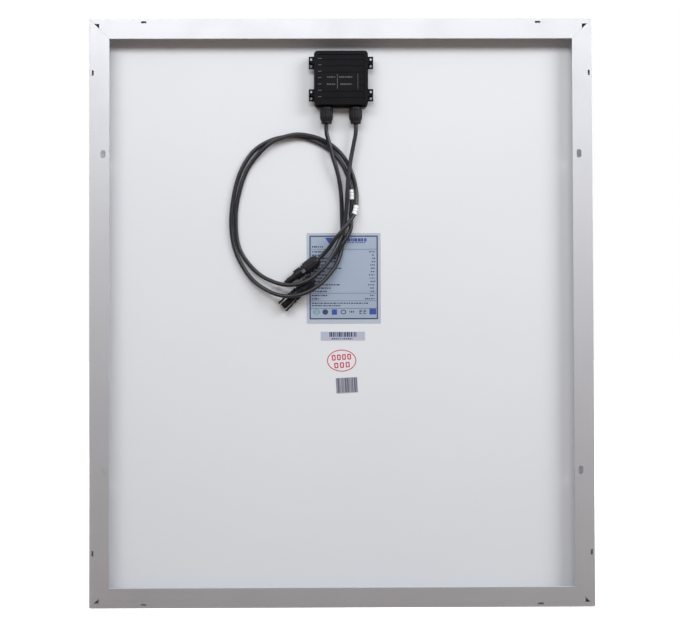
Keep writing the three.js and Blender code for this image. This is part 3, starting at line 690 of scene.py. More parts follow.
def bare_metal(name, dark, light, rough, scale=500.0, depth=0.02 * MM, strength=0.4):
    """Plain metal, drawn in fine lines: its two tones, and its least and greatest roughness."""
    finish = Finish(name, metallic=1.0)
    lines = finish.group("Drawn Lines", Stretch=(scale, scale, scale))
    finish.set("Base Color", finish.mix(lines["Tone"], dark, light))
    finish.set("Roughness", finish.range(lines["Tone"], 0.3, 0.7, *rough))
    finish.bump(lines["Height"], depth, strength)
    return finish.material


def label_film(name):
    """A satin metallic film, brushed along its width."""
    finish = Finish(name, metallic=0.35)
    base = settings().film
    lines = finish.group("Drawn Lines", Stretch=(30.0, 30.0, 1500.0))
    broad = noise(finish.tree, finish.place, 14.0, 2.0)
    tone = finish.mix(lines["Tone"], shade(base, 0.94), shade(base, 1.06))
    pale = finish.range(broad, 0.3, 0.7, 0, 0.5)
    finish.set("Base Color", finish.mix(pale, tone, shade(base, 1.18)))
    finish.set("Roughness", finish.range(lines["Tone"], 0.3, 0.7, 0.32, 0.44))
    finish.bump(lines["Height"], 0.01 * MM, 0.3)
    return finish.material


def printed(name, base, roughness=0.55, scale=350.0):
    """Paper or ink: a soft fibre in its tone."""
    finish = Finish(name)
    fibre = noise(finish.tree, finish.place, scale, 4.0, 0.65)
    finish.set("Base Color", finish.mix(fibre, shade(base, 0.86), shade(base, 1.1)))
    finish.set("Roughness", finish.range(fibre, 0.3, 0.7, roughness - 0.05, roughness + 0.08))
    finish.bump(fibre, 0.01 * MM, 0.4)
    return finish.material


def clear_glass(name):
    """Solar glass: clear, with a faint pressed texture, and it lets lamps through."""
    finish = Finish(name, roughness=0.05)
    finish.set("Base Color", (0.93, 0.97, 0.96))
    finish.set("IOR", 1.52)
    finish.set("Transmission Weight", 1.0)
    pressed = noise(finish.tree, finish.place, 650.0, 2.0)
    finish.bump(pressed, 0.02 * MM, 0.15)
    rays = finish.tree.nodes.new("ShaderNodeLightPath").outputs["Is Shadow Ray"]
    through = node(finish.tree, "ShaderNodeBsdfTransparent", {"Color": (0.9, 0.93, 0.92, 1.0)})
    inputs = {0: rays, 1: finish.shader.outputs[0], 2: through.outputs[0]}
    both = node(finish.tree, "ShaderNodeMixShader", inputs)
    output = finish.tree.nodes["Material Output"]
    finish.tree.links.new(both.outputs[0], output.inputs["Surface"])
    return finish.material


MAKERS = {
    "Frame Metal Upright": lambda name: anodised(name, "z"),
    "Frame Metal Level": lambda name: anodised(name, "x"),
    "Box Plastic": lambda name: moulded(name, settings().plastic, 0.32, specular=0.08, dust=0.1),
    # Lighter than the lid's plastic: a painted highlight on the lid's rib ends, dividers and raised marks.
    "Worn Plastic": lambda name: moulded(name, (0.10, 0.10, 0.115), 0.4),
    "Grey Plastic": lambda name: moulded(name, (0.11, 0.115, 0.12), 0.4),
    "Nut Plastic": lambda name: moulded(
        name, shade(settings().plastic, 1.7), 0.42, 800.0, 0.05 * MM, 0.26, 0.2
    ),
    "Connector Plastic": lambda name: moulded(
        name, shade(settings().plastic, 1.2), 0.38, 900.0, 0.04 * MM, 0.24, 0.2
    ),
    "Lead Sheath": sheath,
    "Black Rubber": lambda name: rubber(name, (0.012, 0.012, 0.012)),
    "Silicone": lambda name: rubber(name, (0.66, 0.67, 0.67), 0.55),
    "Back Sheet": back_sheet,
    "Encapsulant": encapsulant,
    "Coated Cell": cell_coat,
    "Tinned Copper": lambda name: bare_metal(
        name, (0.62, 0.63, 0.65), (0.78, 0.78, 0.79), (0.25, 0.42), 900.0, 0.03 * MM, 0.5
    ),
    "Brass": lambda name: bare_metal(name, (0.50, 0.34, 0.12), (0.66, 0.48, 0.2), (0.29, 0.43)),
    "Bare Copper": lambda name: bare_metal(name, (0.52, 0.21, 0.10), (0.70, 0.32, 0.17), (0.29, 0.43)),
    "Solder": lambda name: bare_metal(name, (0.52, 0.53, 0.54), (0.70, 0.70, 0.71), (0.19, 0.33)),
    "Label Film": label_film,
    "Label Margin": lambda name: printed(name, (0.47, 0.52, 0.60), 0.4),
    "Label Paper": lambda name: printed(name, settings().paper),
    "Dark Ink": lambda name: printed(name, settings().ink, 0.5, 900.0),
    "Blue Ink": lambda name: printed(name, (0.035, 0.075, 0.32), 0.5, 900.0),
    "Green Ink": lambda name: printed(name, (0.10, 0.30, 0.27), 0.5, 900.0),
    "Sleeve Ink": lambda name: printed(name, (0.42, 0.42, 0.45), 0.5, 900.0),
    "Grey Ink": lambda name: printed(name, (0.13, 0.125, 0.145), 0.5, 900.0),
    "Stamp Ink": lambda name: printed(name, settings().stamp, 0.55, 1200.0),
    "White Sleeve": lambda name: printed(name, (0.86, 0.86, 0.88), 0.45, 500.0),
    "Solar Glass": clear_glass,
}


def material(name):
    return bpy.data.materials.get(name) or MAKERS[name](name)


def dress(nodes, name):
    """Gives CAD nodes a finished material."""
    for part in nodes:
        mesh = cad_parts[part].data
        mesh.materials.clear()
        mesh.materials.append(material(name))


# ---- Operators -----------------------------------------------------------------------------------


class SOLARPANEL_OT_stage(bpy.types.Operator):
    """Adds the camera, the soft lights, the sky and the pale floor"""

    bl_idname = "solar_panel.stage"
    bl_label = "Camera, Lights and Floor"

    CAMERA = {
        "place": (-0.0167, -1.9, -0.0443),
        "pitch": 1.213,
        "yaw": 0.4355,
        "roll": -0.1575,
        "lens": 75.97,
    }
    # name, place, target, width, height, watts, colour
    LAMPS = (
        ("Key", (-0.45, -1.75, 1.26), (0.0, 0.0, 0.05), 2.3, 0.6, 29.0, (0.98, 0.99, 1.0)),
        ("Side", (1.9, -1.6, 1.25), (0.0, 0.0, 0.05), 1.3, 0.9, 36.0, (0.97, 0.98, 1.0)),
        ("Front", (-1.2, 2.1, 1.6), (0.0, 0.0, 0.0), 1.6, 1.4, 60.0, (1.0, 1.0, 1.0)),
        ("Front Fill", (2.2, 1.5, 0.8), (0.0, 0.0, 0.0), 1.2, 1.6, 26.0, (0.96, 0.98, 1.0)),
    )
    FLOOR_SIZE = 60.0
    FLOOR_GAP = 0.0005

    def execute(self, context):
        scene = context.scene
        scene.view_settings.view_transform = "Standard"
        self.add_camera(scene)
        for lamp in self.LAMPS:
            self.add_lamp(scene, *lamp)
        self.add_sky(scene)
        self.add_floor(scene)
        return {"FINISHED"}

    def add_camera(self, scene):
        data = bpy.data.cameras.new("Camera")
        data.lens = self.CAMERA["lens"]
        data.clip_start = 0.05
        camera = bpy.data.objects.new("Camera", data)
        pitch, yaw, roll = (math.radians(self.CAMERA[k]) for k in ("pitch", "yaw", "roll"))
        flat = math.cos(pitch)
        ahead = Vector((math.sin(yaw) * flat, math.cos(yaw) * flat, math.sin(pitch)))
        level = Vector((math.cos(yaw), -math.sin(yaw), 0.0))
        up = level.cross(ahead)
        right = level * math.cos(roll) + up * math.sin(roll)
        over = up * math.cos(roll) - level * math.sin(roll)
        camera.matrix_world = Matrix((right, over, -ahead)).transposed().to_4x4()
        camera.location = self.CAMERA["place"]
        scene.collection.objects.link(camera)
        scene.camera = camera

    def add_lamp(self, scene, name, place, target, width, height, watts, tint):
        data = bpy.data.lights.new(name, "AREA")
        data.shape = "RECTANGLE"
        data.size = width
        data.size_y = height
        data.energy = watts
        data.color = tint
        lamp = bpy.data.objects.new(name, data)
        lamp.location = place
        lamp.rotation_euler = (Vector(target) - Vector(place)).to_track_quat("-Z", "Y").to_euler()
        scene.collection.objects.link(lamp)

    def add_sky(self, scene):
        world = bpy.data.worlds.new("Studio")
        world.use_nodes = True
        tree = world.node_tree
        tree.nodes.clear()
        seen = node(tree, "ShaderNodeBackground", {"Color": (1.0, 1.0, 1.0, 1.0), "Strength": 1.0})
        direction = tree.nodes.new("ShaderNodeTexCoord").outputs["Generated"]
        z = node(tree, "ShaderNodeSeparateXYZ", {0: direction}).outputs[2]
        level = map_range(tree, z, -0.25, 0.9, 0.12, 0.52)
        fill = node(tree, "ShaderNodeBackground", {"Color": (0.92, 0.95, 1.0, 1.0), "Strength": level})
        rays = tree.nodes.new("ShaderNodeLightPath").outputs["Is Camera Ray"]
        both = node(tree, "ShaderNodeMixShader", {0: rays, 1: fill.outputs[0], 2: seen.outputs[0]})
        output = tree.nodes.new("ShaderNodeOutputWorld")
        tree.links.new(both.outputs[0], output.inputs["Surface"])
        scene.world = world

    def add_floor(self, scene):
        """A wide floor just under the panel, white to the camera and dull to the other rays."""
        half = self.FLOOR_SIZE / 2
        height = CAD_BOX[0][2] - self.FLOOR_GAP
        bm = bmesh.new()
        corners = ((-half, -half), (half, -half), (half, half), (-half, half))
        bm.faces.new([bm.verts.new((x, y, height)) for x, y in corners])
        mesh = bpy.data.meshes.new("Floor")
        bm.to_mesh(mesh)
        bm.free()
        finish = Finish("Pale Floor", roughness=0.8)
        soft = noise(finish.tree, finish.place, 3.0, 2.0)
        pale = finish.mix(soft, (0.93, 0.93, 0.93), (0.97, 0.97, 0.97))
        rays = finish.tree.nodes.new("ShaderNodeLightPath").outputs["Is Camera Ray"]
        finish.set("Base Color", finish.mix(rays, (0.26, 0.205, 0.175), pale))
        finish.set("Emission Color", finish.mix(rays, (0.0, 0.0, 0.0), (0.90, 0.90, 0.90)))
        finish.set("Emission Strength", 1.0)
        finish.set("Specular IOR Level", 0.1)
        mesh.materials.append(finish.material)
        floor = bpy.data.objects.new("Floor", mesh)
        scene.collection.objects.link(floor)


class SOLARPANEL_OT_leads(bpy.types.Operator):
    """Builds both leads as curves, their ends inside the box, and a printed sleeve on each"""

    bl_idname = "solar_panel.leads"
    bl_label = "Leads and Sleeves"

    SLEEVE = {"length": 0.013, "outer": 3.5, "inner": 3.2, "marks": (0.3, 0.62), "mark": 0.05}
    CORE = {"radius": 1.3, "heights": (0.0055, 0.003, -0.001)}

    def execute(self, context):
        radius = settings().lead_diameter / 2
        for side, route in ROUTES.items():
            whole = smooth_line(route_points(route))
            inner, outer = whole[: CURVE_STEPS + 1], whole[CURVE_STEPS:]
            tail = lead_curve(f"lead_tail_{side}", inner, radius, "Lead Sheath")
            settle(tail, ROOT)
            core = [inner[0] + Vector((0.0, 0.0, z)) for z in self.CORE["heights"]]
            strand = lead_curve(f"lead_core_{side}", core, self.CORE["radius"] * MM, "Bare Copper")
            settle(strand, ROOT)
            cord = lead_curve(f"lead_cord_{side}", outer, radius, "Lead Sheath")
            settle(cord, ROOT, [f"lead_{side}"])
            self.add_sleeve(side, whole)
        return {"FINISHED"}

    def add_sleeve(self, side, line):
        """A band round the lead, with two thin raised marks in place of its print."""
        size = self.SLEEVE
        outer, inner = size["outer"], size["inner"]
        start = SLEEVE_MIDDLE[side] - size["length"] / 2
        end = SLEEVE_MIDDLE[side] + size["length"] / 2
        bm = bmesh.new()
        tube(bm, stretch(line, start, end, 9), outer * MM, inner * MM, 24)
        replaced = [f"lead_sleeve_{side}"]
        finish_piece(f"sleeve_band_{side}", bm, "White Sleeve", ROOT, replaced)
        marks = bmesh.new()
        for share in size["marks"]:
            a, b = (start + size["length"] * s for s in (share, share + size["mark"]))
            tube(marks, stretch(line, a, b, 2), (outer + 0.05) * MM, (outer - 0.1) * MM, 24)
        finish_piece(f"sleeve_print_{side}", marks, "Sleeve Ink", ROOT)


class SOLARPANEL_OT_frame_rails(bpy.types.Operator):
    """Finishes the rails, keys and edge seal, and runs a bead of sealant round the back sheet"""

    bl_idname = "solar_panel.frame_rails"
    bl_label = "Frame"

    BEAD = {"inset": 9.0, "width": 2.2, "height": 1.6, "step": 9.0}

    def execute(self, context):
        dress(["left_stile", "right_stile"], "Frame Metal Upright")
        dress(["top_rail", "bottom_rail"], "Frame Metal Level")
        dress([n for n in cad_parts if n.startswith("corner_key")], "Frame Metal Level")
        dress([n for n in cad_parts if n.endswith("edge_seal")], "Silicone")
        self.add_bead()
        return {"FINISHED"}

    def add_bead(self):
        """A hand-run bead whose width wanders a little on its way round."""
        draw = random.Random(11)
        half_x, half_z = (half - self.BEAD["inset"] for half in PANEL_HALF)
        corners = [(-half_x, -half_z), (half_x, -half_z), (half_x, half_z), (-half_x, half_z)]
        rings = []
        for (ax, az), (bx, bz) in zip(corners, corners[1:] + corners[:1]):
            run = math.hypot(bx - ax, bz - az)
            count = int(run / self.BEAD["step"])
            for i in range(count):
                share = i / count
                x, z = ax + (bx - ax) * share, az + (bz - az) * share
                inward = Vector((-(bz - az), bx - ax)) / run
                if i == 0:
                    inward = Vector((-math.copysign(1, ax), -math.copysign(1, az)))
                width = self.BEAD["width"] * draw.uniform(0.8, 1.15)
                height = self.BEAD["height"] * draw.uniform(0.85, 1.1)
                section = ((0.0, 0.0), (1.0, 0.0), (0.8, -0.55), (0.4, -0.95), (0.0, -1.0))
                ring = [(width * u, BACK_SHEET_REAR + height * v) for u, v in section]
                rings.append([point(x + inward.x * u, depth, z + inward.y * u) for u, depth in ring])
        bm = bmesh.new()
        loft(bm, rings, capped=False)
        finish_piece("sealant_bead", bm, "Silicone", ROOT, sharp=60)


class SOLARPANEL_OT_laminate(bpy.types.Operator):
    """Finishes the back sheet, cells and ribbons, and makes the clear pane in front of them"""

    bl_idname = "solar_panel.laminate"
    bl_label = "Laminate"

    def execute(self, context):
        dress(["back_sheet"], "Back Sheet")
        dress(["rear_encapsulant"], "Encapsulant")
        dress([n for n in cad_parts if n.startswith("cell_string")], "Coated Cell")
        dress([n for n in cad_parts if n.startswith("bus_ribbon")], "Tinned Copper")
        bm = bmesh.new()
        prism(bm, rounded(*GLASS["size"], GLASS["corner"], steps=2), GLASS["depths"])
        replaced = ["front_glass", "front_encapsulant"]
        finish_piece("glass_pane", bm, "Solar Glass", ROOT, replaced, bevel=0.4 * MM)
        return {"FINISHED"}


class SOLARPANEL_OT_labels(bpy.types.Operator):
    """Makes the rating label, the two small labels and the round stamp, with plain marks for print"""

    bl_idname = "solar_panel.labels"
    bl_label = "Labels and Stamp"

    FACE = 22.5
    THICKNESS = 0.15
    RATING = {"middle": (3.0, 45.6), "size": (99.4, 121.6)}
    FIELD = {"middle": (3.0, 46.8), "size": (91.8, 112.4), "line": 1.7}
    SERIAL = {"middle": (1.7, -31.9), "size": (59.4, 11.9)}
    BATCH = {"middle": (6.8, -97.7), "size": (29.2, 21.0), "tilt": 3.0}
    STAMP = {"middle": (0.0, -64.7), "tilt": 4.0, "depth": 0.05}
    STAMP_RING = {"outer": (39.2, 29.4), "inner": (36.8, 27.0)}
    # Each row of the stamp: height over its middle, marks, pitch, and a mark's width and height.
    STAMP_ROWS = ((4.6, 4, 6.9, 5.0, 7.6), (-6.0, 3, 7.6, 5.4, 7.4))

    def execute(self, context):
        self.add_rating_label()
        self.add_serial_label()
        self.add_batch_tag()
        self.add_stamp()
        return {"FINISHED"}

    def sheet(self, name, replaces, look, slot, outline):
        bm = bmesh.new()
        prism(bm, outline, (self.FACE, self.FACE + self.THICKNESS))
        finish_piece(name, bm, look, ROOT, replaces)

    def depths(self, lift=0.0):
        """The two depths of print on the labels' face, lifted a little more where marks cross."""
        return (self.FACE - settings().print_thickness / MM - lift, self.FACE + 0.02)

    def ink(self, bm, xs, zs, lift=0.0):
        block(bm, xs, self.depths(lift), zs)

    def words(self, bm, left, right, z, height, draw, fill=1.0):
        """A run of plain marks, of uneven widths, in place of a line of print."""
        x = left
        while x < right:
            width = draw.uniform(1.2, 4.6) * fill
            if x + width > right:
                break
            self.ink(bm, (x, x + width), (z - height / 2, z + height / 2))
            x += width + draw.uniform(0.5, 1.2)

    def add_rating_label(self):
        outline = rounded(*self.RATING["size"], 1.5, self.RATING["middle"])
        self.sheet("rating_margin", ["rating_label"], "Label Margin", "label_film", outline)
        fx, fz = self.FIELD["middle"]
        fw, fh = self.FIELD["size"]
        film = bmesh.new()
        prism(film, rounded(fw, fh, 0.6, (fx, fz)), (self.FACE - 0.02, self.FACE + 0.05))
        finish_piece("rating_field", film, "Label Film", ROOT)
        self.add_rating_print(fx - fw / 2, fx + fw / 2, fz + fh / 2, fz - fh / 2)

    def rule(self, bm, left, right, z, thickness=0.5):
        self.ink(bm, (left + 2.0, right - 2.0), (z - thickness / 2, z + thickness / 2), 0.01)

    def add_rating_print(self, left, right, top, low):
        """A frame line, badge, title, fifteen rows, rules, small print and a row of signs, all plain."""
        draw = random.Random(5)
        ink = self.depths()
        middle = ((left + right) / 2, (top + low) / 2)
        dark = bmesh.new()
        line = rounded(right - left, top - low, 0.8, middle)
        inset = 2 * self.FIELD["line"]
        within = rounded(right - left - inset, top - low - inset, 0.4, middle)
        ring_plate(dark, line, within, self.depths(0.02))
        indent, edge = left + 3.4, right - 3.4
        self.words(dark, left + 50, left + 76, top - 9.6, 1.2, draw, 0.7)
        self.words(dark, indent, left + 22, top - 15.1, 1.9, draw)
        self.rule(dark, left, right, top - 18.4)
        for row in range(13):
            z = top - 21.8 - row * 4.43
            self.words(dark, indent, indent + draw.uniform(14, 40), z, 1.7, draw)
            self.words(dark, edge - draw.uniform(4, 10), edge, z, 1.7, draw, 0.5)
        self.rule(dark, left, right, top - 77.4)
        for z in (80.4, 84.9):
            self.words(dark, indent, indent + draw.uniform(14, 24), top - z, 1.7, draw)
            self.words(dark, edge - draw.uniform(6, 14), edge, top - z, 1.7, draw, 0.5)
        self.rule(dark, left, right, top - 87.6)
        self.words(dark, indent, edge - 6, top - 90.8, 1.6, draw)
        self.words(dark, indent, indent + 38, top - 94.1, 1.6, draw)
        self.rule(dark, left, right, top - 97.8)
        row = top - 102.6
        prism(dark, ellipse(7.8, 7.4, (left + 21.1, row), 28), ink)
        sign = (left + 45.4, row)
        ring_plate(dark, ellipse(7.6, 6.4, sign, 28), ellipse(5.2, 4.0, sign, 28), ink)
        self.words(dark, left + 53.5, left + 61.5, row + 0.4, 2.6, draw, 0.5)
        for offset in (67.0, 72.5):
            self.ink(dark, (left + offset, left + offset + 1.0), (row - 2.8, row + 2.8))
            for z in (-2.8, 0.0, 1.9):
                self.ink(dark, (left + offset, left + offset + 3.4), (row + z, row + z + 0.9))
        finish_piece("rating_print_dark", dark, "Dark Ink", ROOT)
        blue = bmesh.new()
        badge = ((26.5, 11.2), (33, 6.5), (31, 2.8), (21, 2.8))
        prism(blue, [(left + x, top - z) for x, z in badge], ink)
        self.words(blue, left + 47, left + 80, top - 5.9, 4.4, draw, 1.0)
        self.ink(blue, (left + 29.8, left + 36.8), (row - 3.6, row + 3.6))
        self.ink(blue, (right - 11.6, right - 2.4), (row - 3.4, row + 4.4))
        finish_piece("rating_print_blue", blue, "Blue Ink", ROOT)
        green = bmesh.new()
        sign = (left + 9.4, row)
        ring_plate(green, ellipse(9.4, 7.2, sign, 28), ellipse(7.4, 5.2, sign, 28), ink)
        self.ink(green, (left + 6.4, left + 12.0), (row - 0.5, row + 0.7))
        finish_piece("rating_print_green", green, "Green Ink", ROOT)

    def bars(self, bm, xs, zs, draw, tilt, middle):
        """Upright bars of uneven widths, tilted about a label's middle."""
        x, right = xs
        while x < right - 0.3:
            width = min(draw.choice((0.5, 0.9, 1.5, 2.3)), right - x)
            corners = ((x, zs[0]), (x + width, zs[0]), (x + width, zs[1]), (x, zs[1]))
            prism(bm, tilted(corners, tilt, middle), self.depths())
            x += width + draw.choice((0.5, 0.6, 1.0))

    def add_serial_label(self):
        middle = self.SERIAL["middle"]
        outline = rounded(*self.SERIAL["size"], 0.8, middle)
        self.sheet("serial_strip", ["serial_label"], "Label Paper", "paper_label", outline)
        bm = bmesh.new()
        draw = random.Random(21)
        self.bars(bm, (-18.2, 18.2), (-1.0, 5.4), draw, 0.0, middle)
        self.words(bm, middle[0] - 15, middle[0] + 15, middle[1] - 3.5, 1.8, draw, 0.5)
        finish_piece("serial_print", bm, "Dark Ink", ROOT)

    def add_batch_tag(self):
        middle, tilt = self.BATCH["middle"], self.BATCH["tilt"]
        outline = tilted(rounded(*self.BATCH["size"], 0.8), tilt, middle)
        self.sheet("batch_tag", ["batch_sticker"], "Label Paper", "paper_label", outline)
        bm = bmesh.new()
        self.bars(bm, (-13.8, 13.8), (-9.6, 9.9), random.Random(8), tilt, middle)
        finish_piece("batch_print", bm, "Grey Ink", ROOT)

    def add_stamp(self):
        """An inspection stamp: a ring round two slanted rows of plain open marks."""
        size = self.STAMP
        middle = size["middle"]
        depths = (BACK_SHEET_REAR - size["depth"], BACK_SHEET_REAR + size["depth"])
        bm = bmesh.new()
        ring_plate(bm, *(ellipse(*ring, middle) for ring in self.STAMP_RING.values()), depths)
        for z, count, pitch, width, height in self.STAMP_ROWS:
            for i in range(count):
                x = (i - (count - 1) / 2) * pitch
                outer = rounded(width, height, 1.2, (x, z), 2)
                inner = rounded(width - 3.0, height - 3.0, 0.3, (x, z), 2)
                outlines = [tilted(outline, size["tilt"], middle) for outline in (outer, inner)]
                ring_plate(bm, *outlines, depths)
        finish_piece("inspection_stamp", bm, "Stamp Ink", ROOT)


class SOLARPANEL_OT_box_body(bpy.types.Operator):
    """Makes the junction box's body with its ears and spigots, and finishes what is inside it"""

    bl_idname = "solar_panel.box_body"
    bl_label = "Junction Box Body"

    HOLLOW = (64.2, 64.7, 3.0)
    WALL = {"size": (70.8, 73.7, 4.5), "drop": 1.05, "depths": (10.0, 21.85)}
    RIM = {"size": (68.2, 68.7, 4.0), "depths": (6.0, 10.6)}
    FLOOR_DEPTHS = (19.6, 21.8)
    # The floor's four pieces round the slot for the tabs: two x and two z of each.
    FLOOR = (
        ((-32.4, 32.4), (278.9, 326.0)),
        ((-32.4, 32.4), (334.0, 344.9)),
        ((-32.4, -26.0), (325.9, 334.1)),
        ((26.0, 32.4), (325.9, 334.1)),
    )
    POST = {"x": 30.0, "half": 1.6, "depths": (11.0, 20.0), "heights": (300.0, 322.0)}
    EAR = {
        "inner": 34.6,
        "outer": 42.9,
        "window": 38.6,
        "height": 16.0,
        "wall": 1.9,
        "web": 2.9,
        "depths": (12.0, 15.0),
    }

    def execute(self, context):
        bm = bmesh.new()
        cx, cz = BOX_MIDDLE
        hollow = rounded(*self.HOLLOW, BOX_MIDDLE)
        outside = rounded(*self.WALL["size"], (cx, cz - self.WALL["drop"]))
        ring_plate(bm, outside, hollow, self.WALL["depths"])
        ring_plate(bm, rounded(*self.RIM["size"], BOX_MIDDLE), hollow, self.RIM["depths"])
        for xs, zs in self.FLOOR:
            block(bm, xs, self.FLOOR_DEPTHS, zs)
        for side in (-1, 1):
            for end in (-1, 1):
                self.add_ear(bm, side, cz + end * EAR_OFFSET)
        for x in (-GLAND_SPACING / 2, GLAND_SPACING / 2):
            turn(bm, self.spigot_profile(), gland_place(x), 40)
        post = self.POST
        for x in (-post["x"], post["x"]):
            block(bm, (x - post["half"], x + post["half"]), post["depths"], post["heights"])
        replaced = ["junction_box_base"]
        finish_piece("box_body", bm, "Box Plastic", ROOT, replaced, bevel=settings().edge)
        self.add_solder()
        dress(["junction_box_pad"], "Silicone")
        dress(["junction_box_gasket", "gland_seal_left", "gland_seal_right"], "Black Rubber")
        dress(["terminal_left", "terminal_middle", "terminal_right"], "Brass")
        dress(["bypass_diode_left", "bypass_diode_right"], "Connector Plastic")
        return {"FINISHED"}

    def add_ear(self, bm, side, middle):
        """An ear with two openings near its outer edge, and a web between them."""
        ear = self.EAR
        wall = ear["wall"]
        half = ear["height"] / 2
        near, far = ear["inner"], ear["outer"]
        spans = (
            ((near, far), (-half, -half + wall)),
            ((near, far), (half - wall, half)),
            ((far - wall, far), (-half, half)),
            ((near, ear["window"]), (-half, half)),
            ((near, far), (-ear["web"], ear["web"])),
        )
        for xs, zs in spans:
            block(bm, sorted(side * x for x in xs), ear["depths"], [middle + z for z in zs])

    def spigot_profile(self):
        """The threaded spigot under a gland's nut, from the seal's seat to the box's wall."""
        profile = [(9.0, 4.75), (9.0, 5.7)]
        crest = 9.6
        while crest < 20.0:
            profile += [(crest, 5.75), (crest + 0.35, 6.08), (crest + 0.75, 6.08), (crest + 1.1, 5.75)]
            crest += THREAD_PITCH
        return profile + [(23.0, 5.8), (23.0, 3.6), (16.0, 3.6), (16.0, 4.75)]

    def add_solder(self):
        """A domed joint where each tab comes through to its terminal."""
        bm = bmesh.new()
        for x in (-20.0, 0.0, 20.0):
            place = place_along(point(x, 11.9, 325.5), (1.0, 0.0))
            dome = Matrix.Translation(place.translation) @ Matrix.Rotation(math.radians(-90), 4, "Z")
            profile = [(-0.6, 0.001), (-0.6, 2.6), (0.2, 2.7), (1.0, 2.0), (1.5, 1.0), (1.6, 0.001)]
            turn(bm, profile, dome, 24)
        finish_piece("solder_joints", bm, "Solder", ROOT)


class SOLARPANEL_OT_box_cover(bpy.types.Operator):
    """Makes the junction box's lid: a raised border, ribs, a plain field with raised marks, and barbs"""

    bl_idname = "solar_panel.box_cover"
    bl_label = "Junction Box Lid"

    BARB = ((35.0, -3.2), (36.0, -3.2), (41.2, -0.4), (41.2, 0.4), (36.0, 3.2), (35.0, 3.2))
    # Each run of marks: its height over the box's middle, and its left and right ends.
    RUNS = ((1.0, -18.5, -7.5), (1.0, -2.6, 15.5), (-8.6, -18.5, -7.0), (-8.6, -1.0, 14.5))

    def execute(self, context):
        bm = bmesh.new()
        rings = (
            (rounded(69.0, 69.5, 3.8, BOX_MIDDLE), 4.7),
            (rounded(69.0, 69.5, 3.8, BOX_MIDDLE), 9.5),
            (rounded(72.0, 72.5, 5.0, BOX_MIDDLE), 9.5),
            (rounded(72.0, 72.5, 5.0, BOX_MIDDLE), 2.6),
            (rounded(70.8, 71.3, 4.6, BOX_MIDDLE), 1.9),
            (rounded(62.2, 62.7, 2.4, BOX_MIDDLE), 1.9),
            (rounded(61.0, 61.5, 1.9, BOX_MIDDLE), 2.9),
        )
        loft(bm, [[point(x, y, z) for x, z in outline] for outline, y in rings])
        self.add_ribs(bm)
        self.add_barbs(bm)
        replaced = ["junction_box_lid"]
        finish_piece("box_cover", bm, "Box Plastic", "lid", replaced, bevel=0.25 * MM)
        marks = bmesh.new()
        self.add_marks(marks)
        # The marks' lighter plastic is a painted highlight.
        finish_piece("box_cover_marks", marks, "Worn Plastic", "lid", bevel=0.06 * MM)
        return {"FINISHED"}

    def rib_offsets(self):
        """How far each rib's middle is over the box's middle."""
        count = settings().lid_ribs
        return [(i - (count - 1) / 2) * RIB_PITCH for i in range(count)]

    def add_ribs(self, bm):
        """Ribs right across, interrupted where they would cross the plain field."""
        z0 = BOX_MIDDLE[1]
        for middle in self.rib_offsets():
            zs = (z0 + middle - 1.0, z0 + middle + 1.0)
            spans = [(-30.9, -23.4), (23.6, 30.9)] if -15 < middle < 5 else [(-30.9, 30.9)]
            for span in spans:
                block(bm, span, (2.15, 3.1), zs)

    def add_barbs(self, bm):
        for side in (-1, 1):
            for end in (-1, 1):
                middle = BOX_MIDDLE[1] + end * EAR_OFFSET
                ordered = self.BARB if side > 0 else self.BARB[::-1]
                prism(bm, [(side * x, middle + z) for x, z in ordered], (5.4, 11.6))

    def add_marks(self, bm):
        """Rib ends, the field's two dividers and small raised marks in place of moulded print, all lighter
        as a painted highlight.
        """
        z0 = BOX_MIDDLE[1]
        for offset in self.rib_offsets():
            z = z0 + offset
            block(bm, (-30.6, -26.0), (1.85, 2.4), (z - 0.45, z + 0.45))
        block(bm, (22.2, 22.7), (2.4, 3.0), (z0 - 15.2, z0 + 5.6))
        block(bm, (-5.2, -4.5), (2.3, 3.0), (z0 - 14.6, z0 + 5.0))
        draw = random.Random(3)
        for z, left, right in self.RUNS:
            x = left
            while x < right:
                width = draw.uniform(0.8, 2.2)
                block(bm, (x, min(x + width, right)), (2.68, 2.95), (z0 + z - 0.9, z0 + z + 0.9))
                x += width + draw.uniform(0.6, 1.3)


# ---- Nuts and claws, alike on the glands and on the connectors -----------------------------------


def fluted(first, last, depth):
    """A shape for turn(): grip flutes over a stretch of a nut's outside."""
    count = settings().flutes

    def shape(along, radius, angle):
        if radius < 6.6 or not first <= along <= last:
            return radius
        fade = min(1.0, (along - first) / 1.5, (last - along) / 1.0)
        wave = 0.5 - 0.5 * math.cos(angle * count)
        return radius - depth * max(0.0, fade) * wave**2.2

    return shape


def subdivided(profile, step=1.2):
    """A profile with extra points along its long straight runs, so that a shape can act on them."""
    dense = []
    for (a, ra), (b, rb) in zip(profile, profile[1:] + profile[:1]):
        count = max(1, round(abs(b - a) / step))
        dense += [(a + (b - a) * i / count, ra + (rb - ra) * i / count) for i in range(count)]
    return dense


def add_nut(names, place, profile, shape):
    """A fluted nut; the names are the piece's, its body's and the CAD node's."""
    name, body, replaced = names
    bm = bmesh.new()
    turn(bm, subdivided(profile), place, settings().flutes * 8, shape)
    finish_piece(name, bm, "Nut Plastic", body, [replaced])


def add_claw(names, place, outer):
    """A ring with fingers that the nut closes on the lead; the names are as for a nut."""
    name, body, replaced = names
    bm = bmesh.new()
    turn(bm, [(7.0, 3.5), (7.0, outer), (8.4, outer), (8.4, 3.5)], place, 40)
    profile = [(3.4, 3.5), (3.4, outer - 1.0), (4.4, outer), (7.2, outer), (7.2, 3.5)]
    for i in range(FINGERS):
        first = 2 * math.pi * i / FINGERS
        turn(bm, profile, place, 4, sector=(first, first + math.radians(28)))
    finish_piece(name, bm, "Box Plastic", body, [replaced])


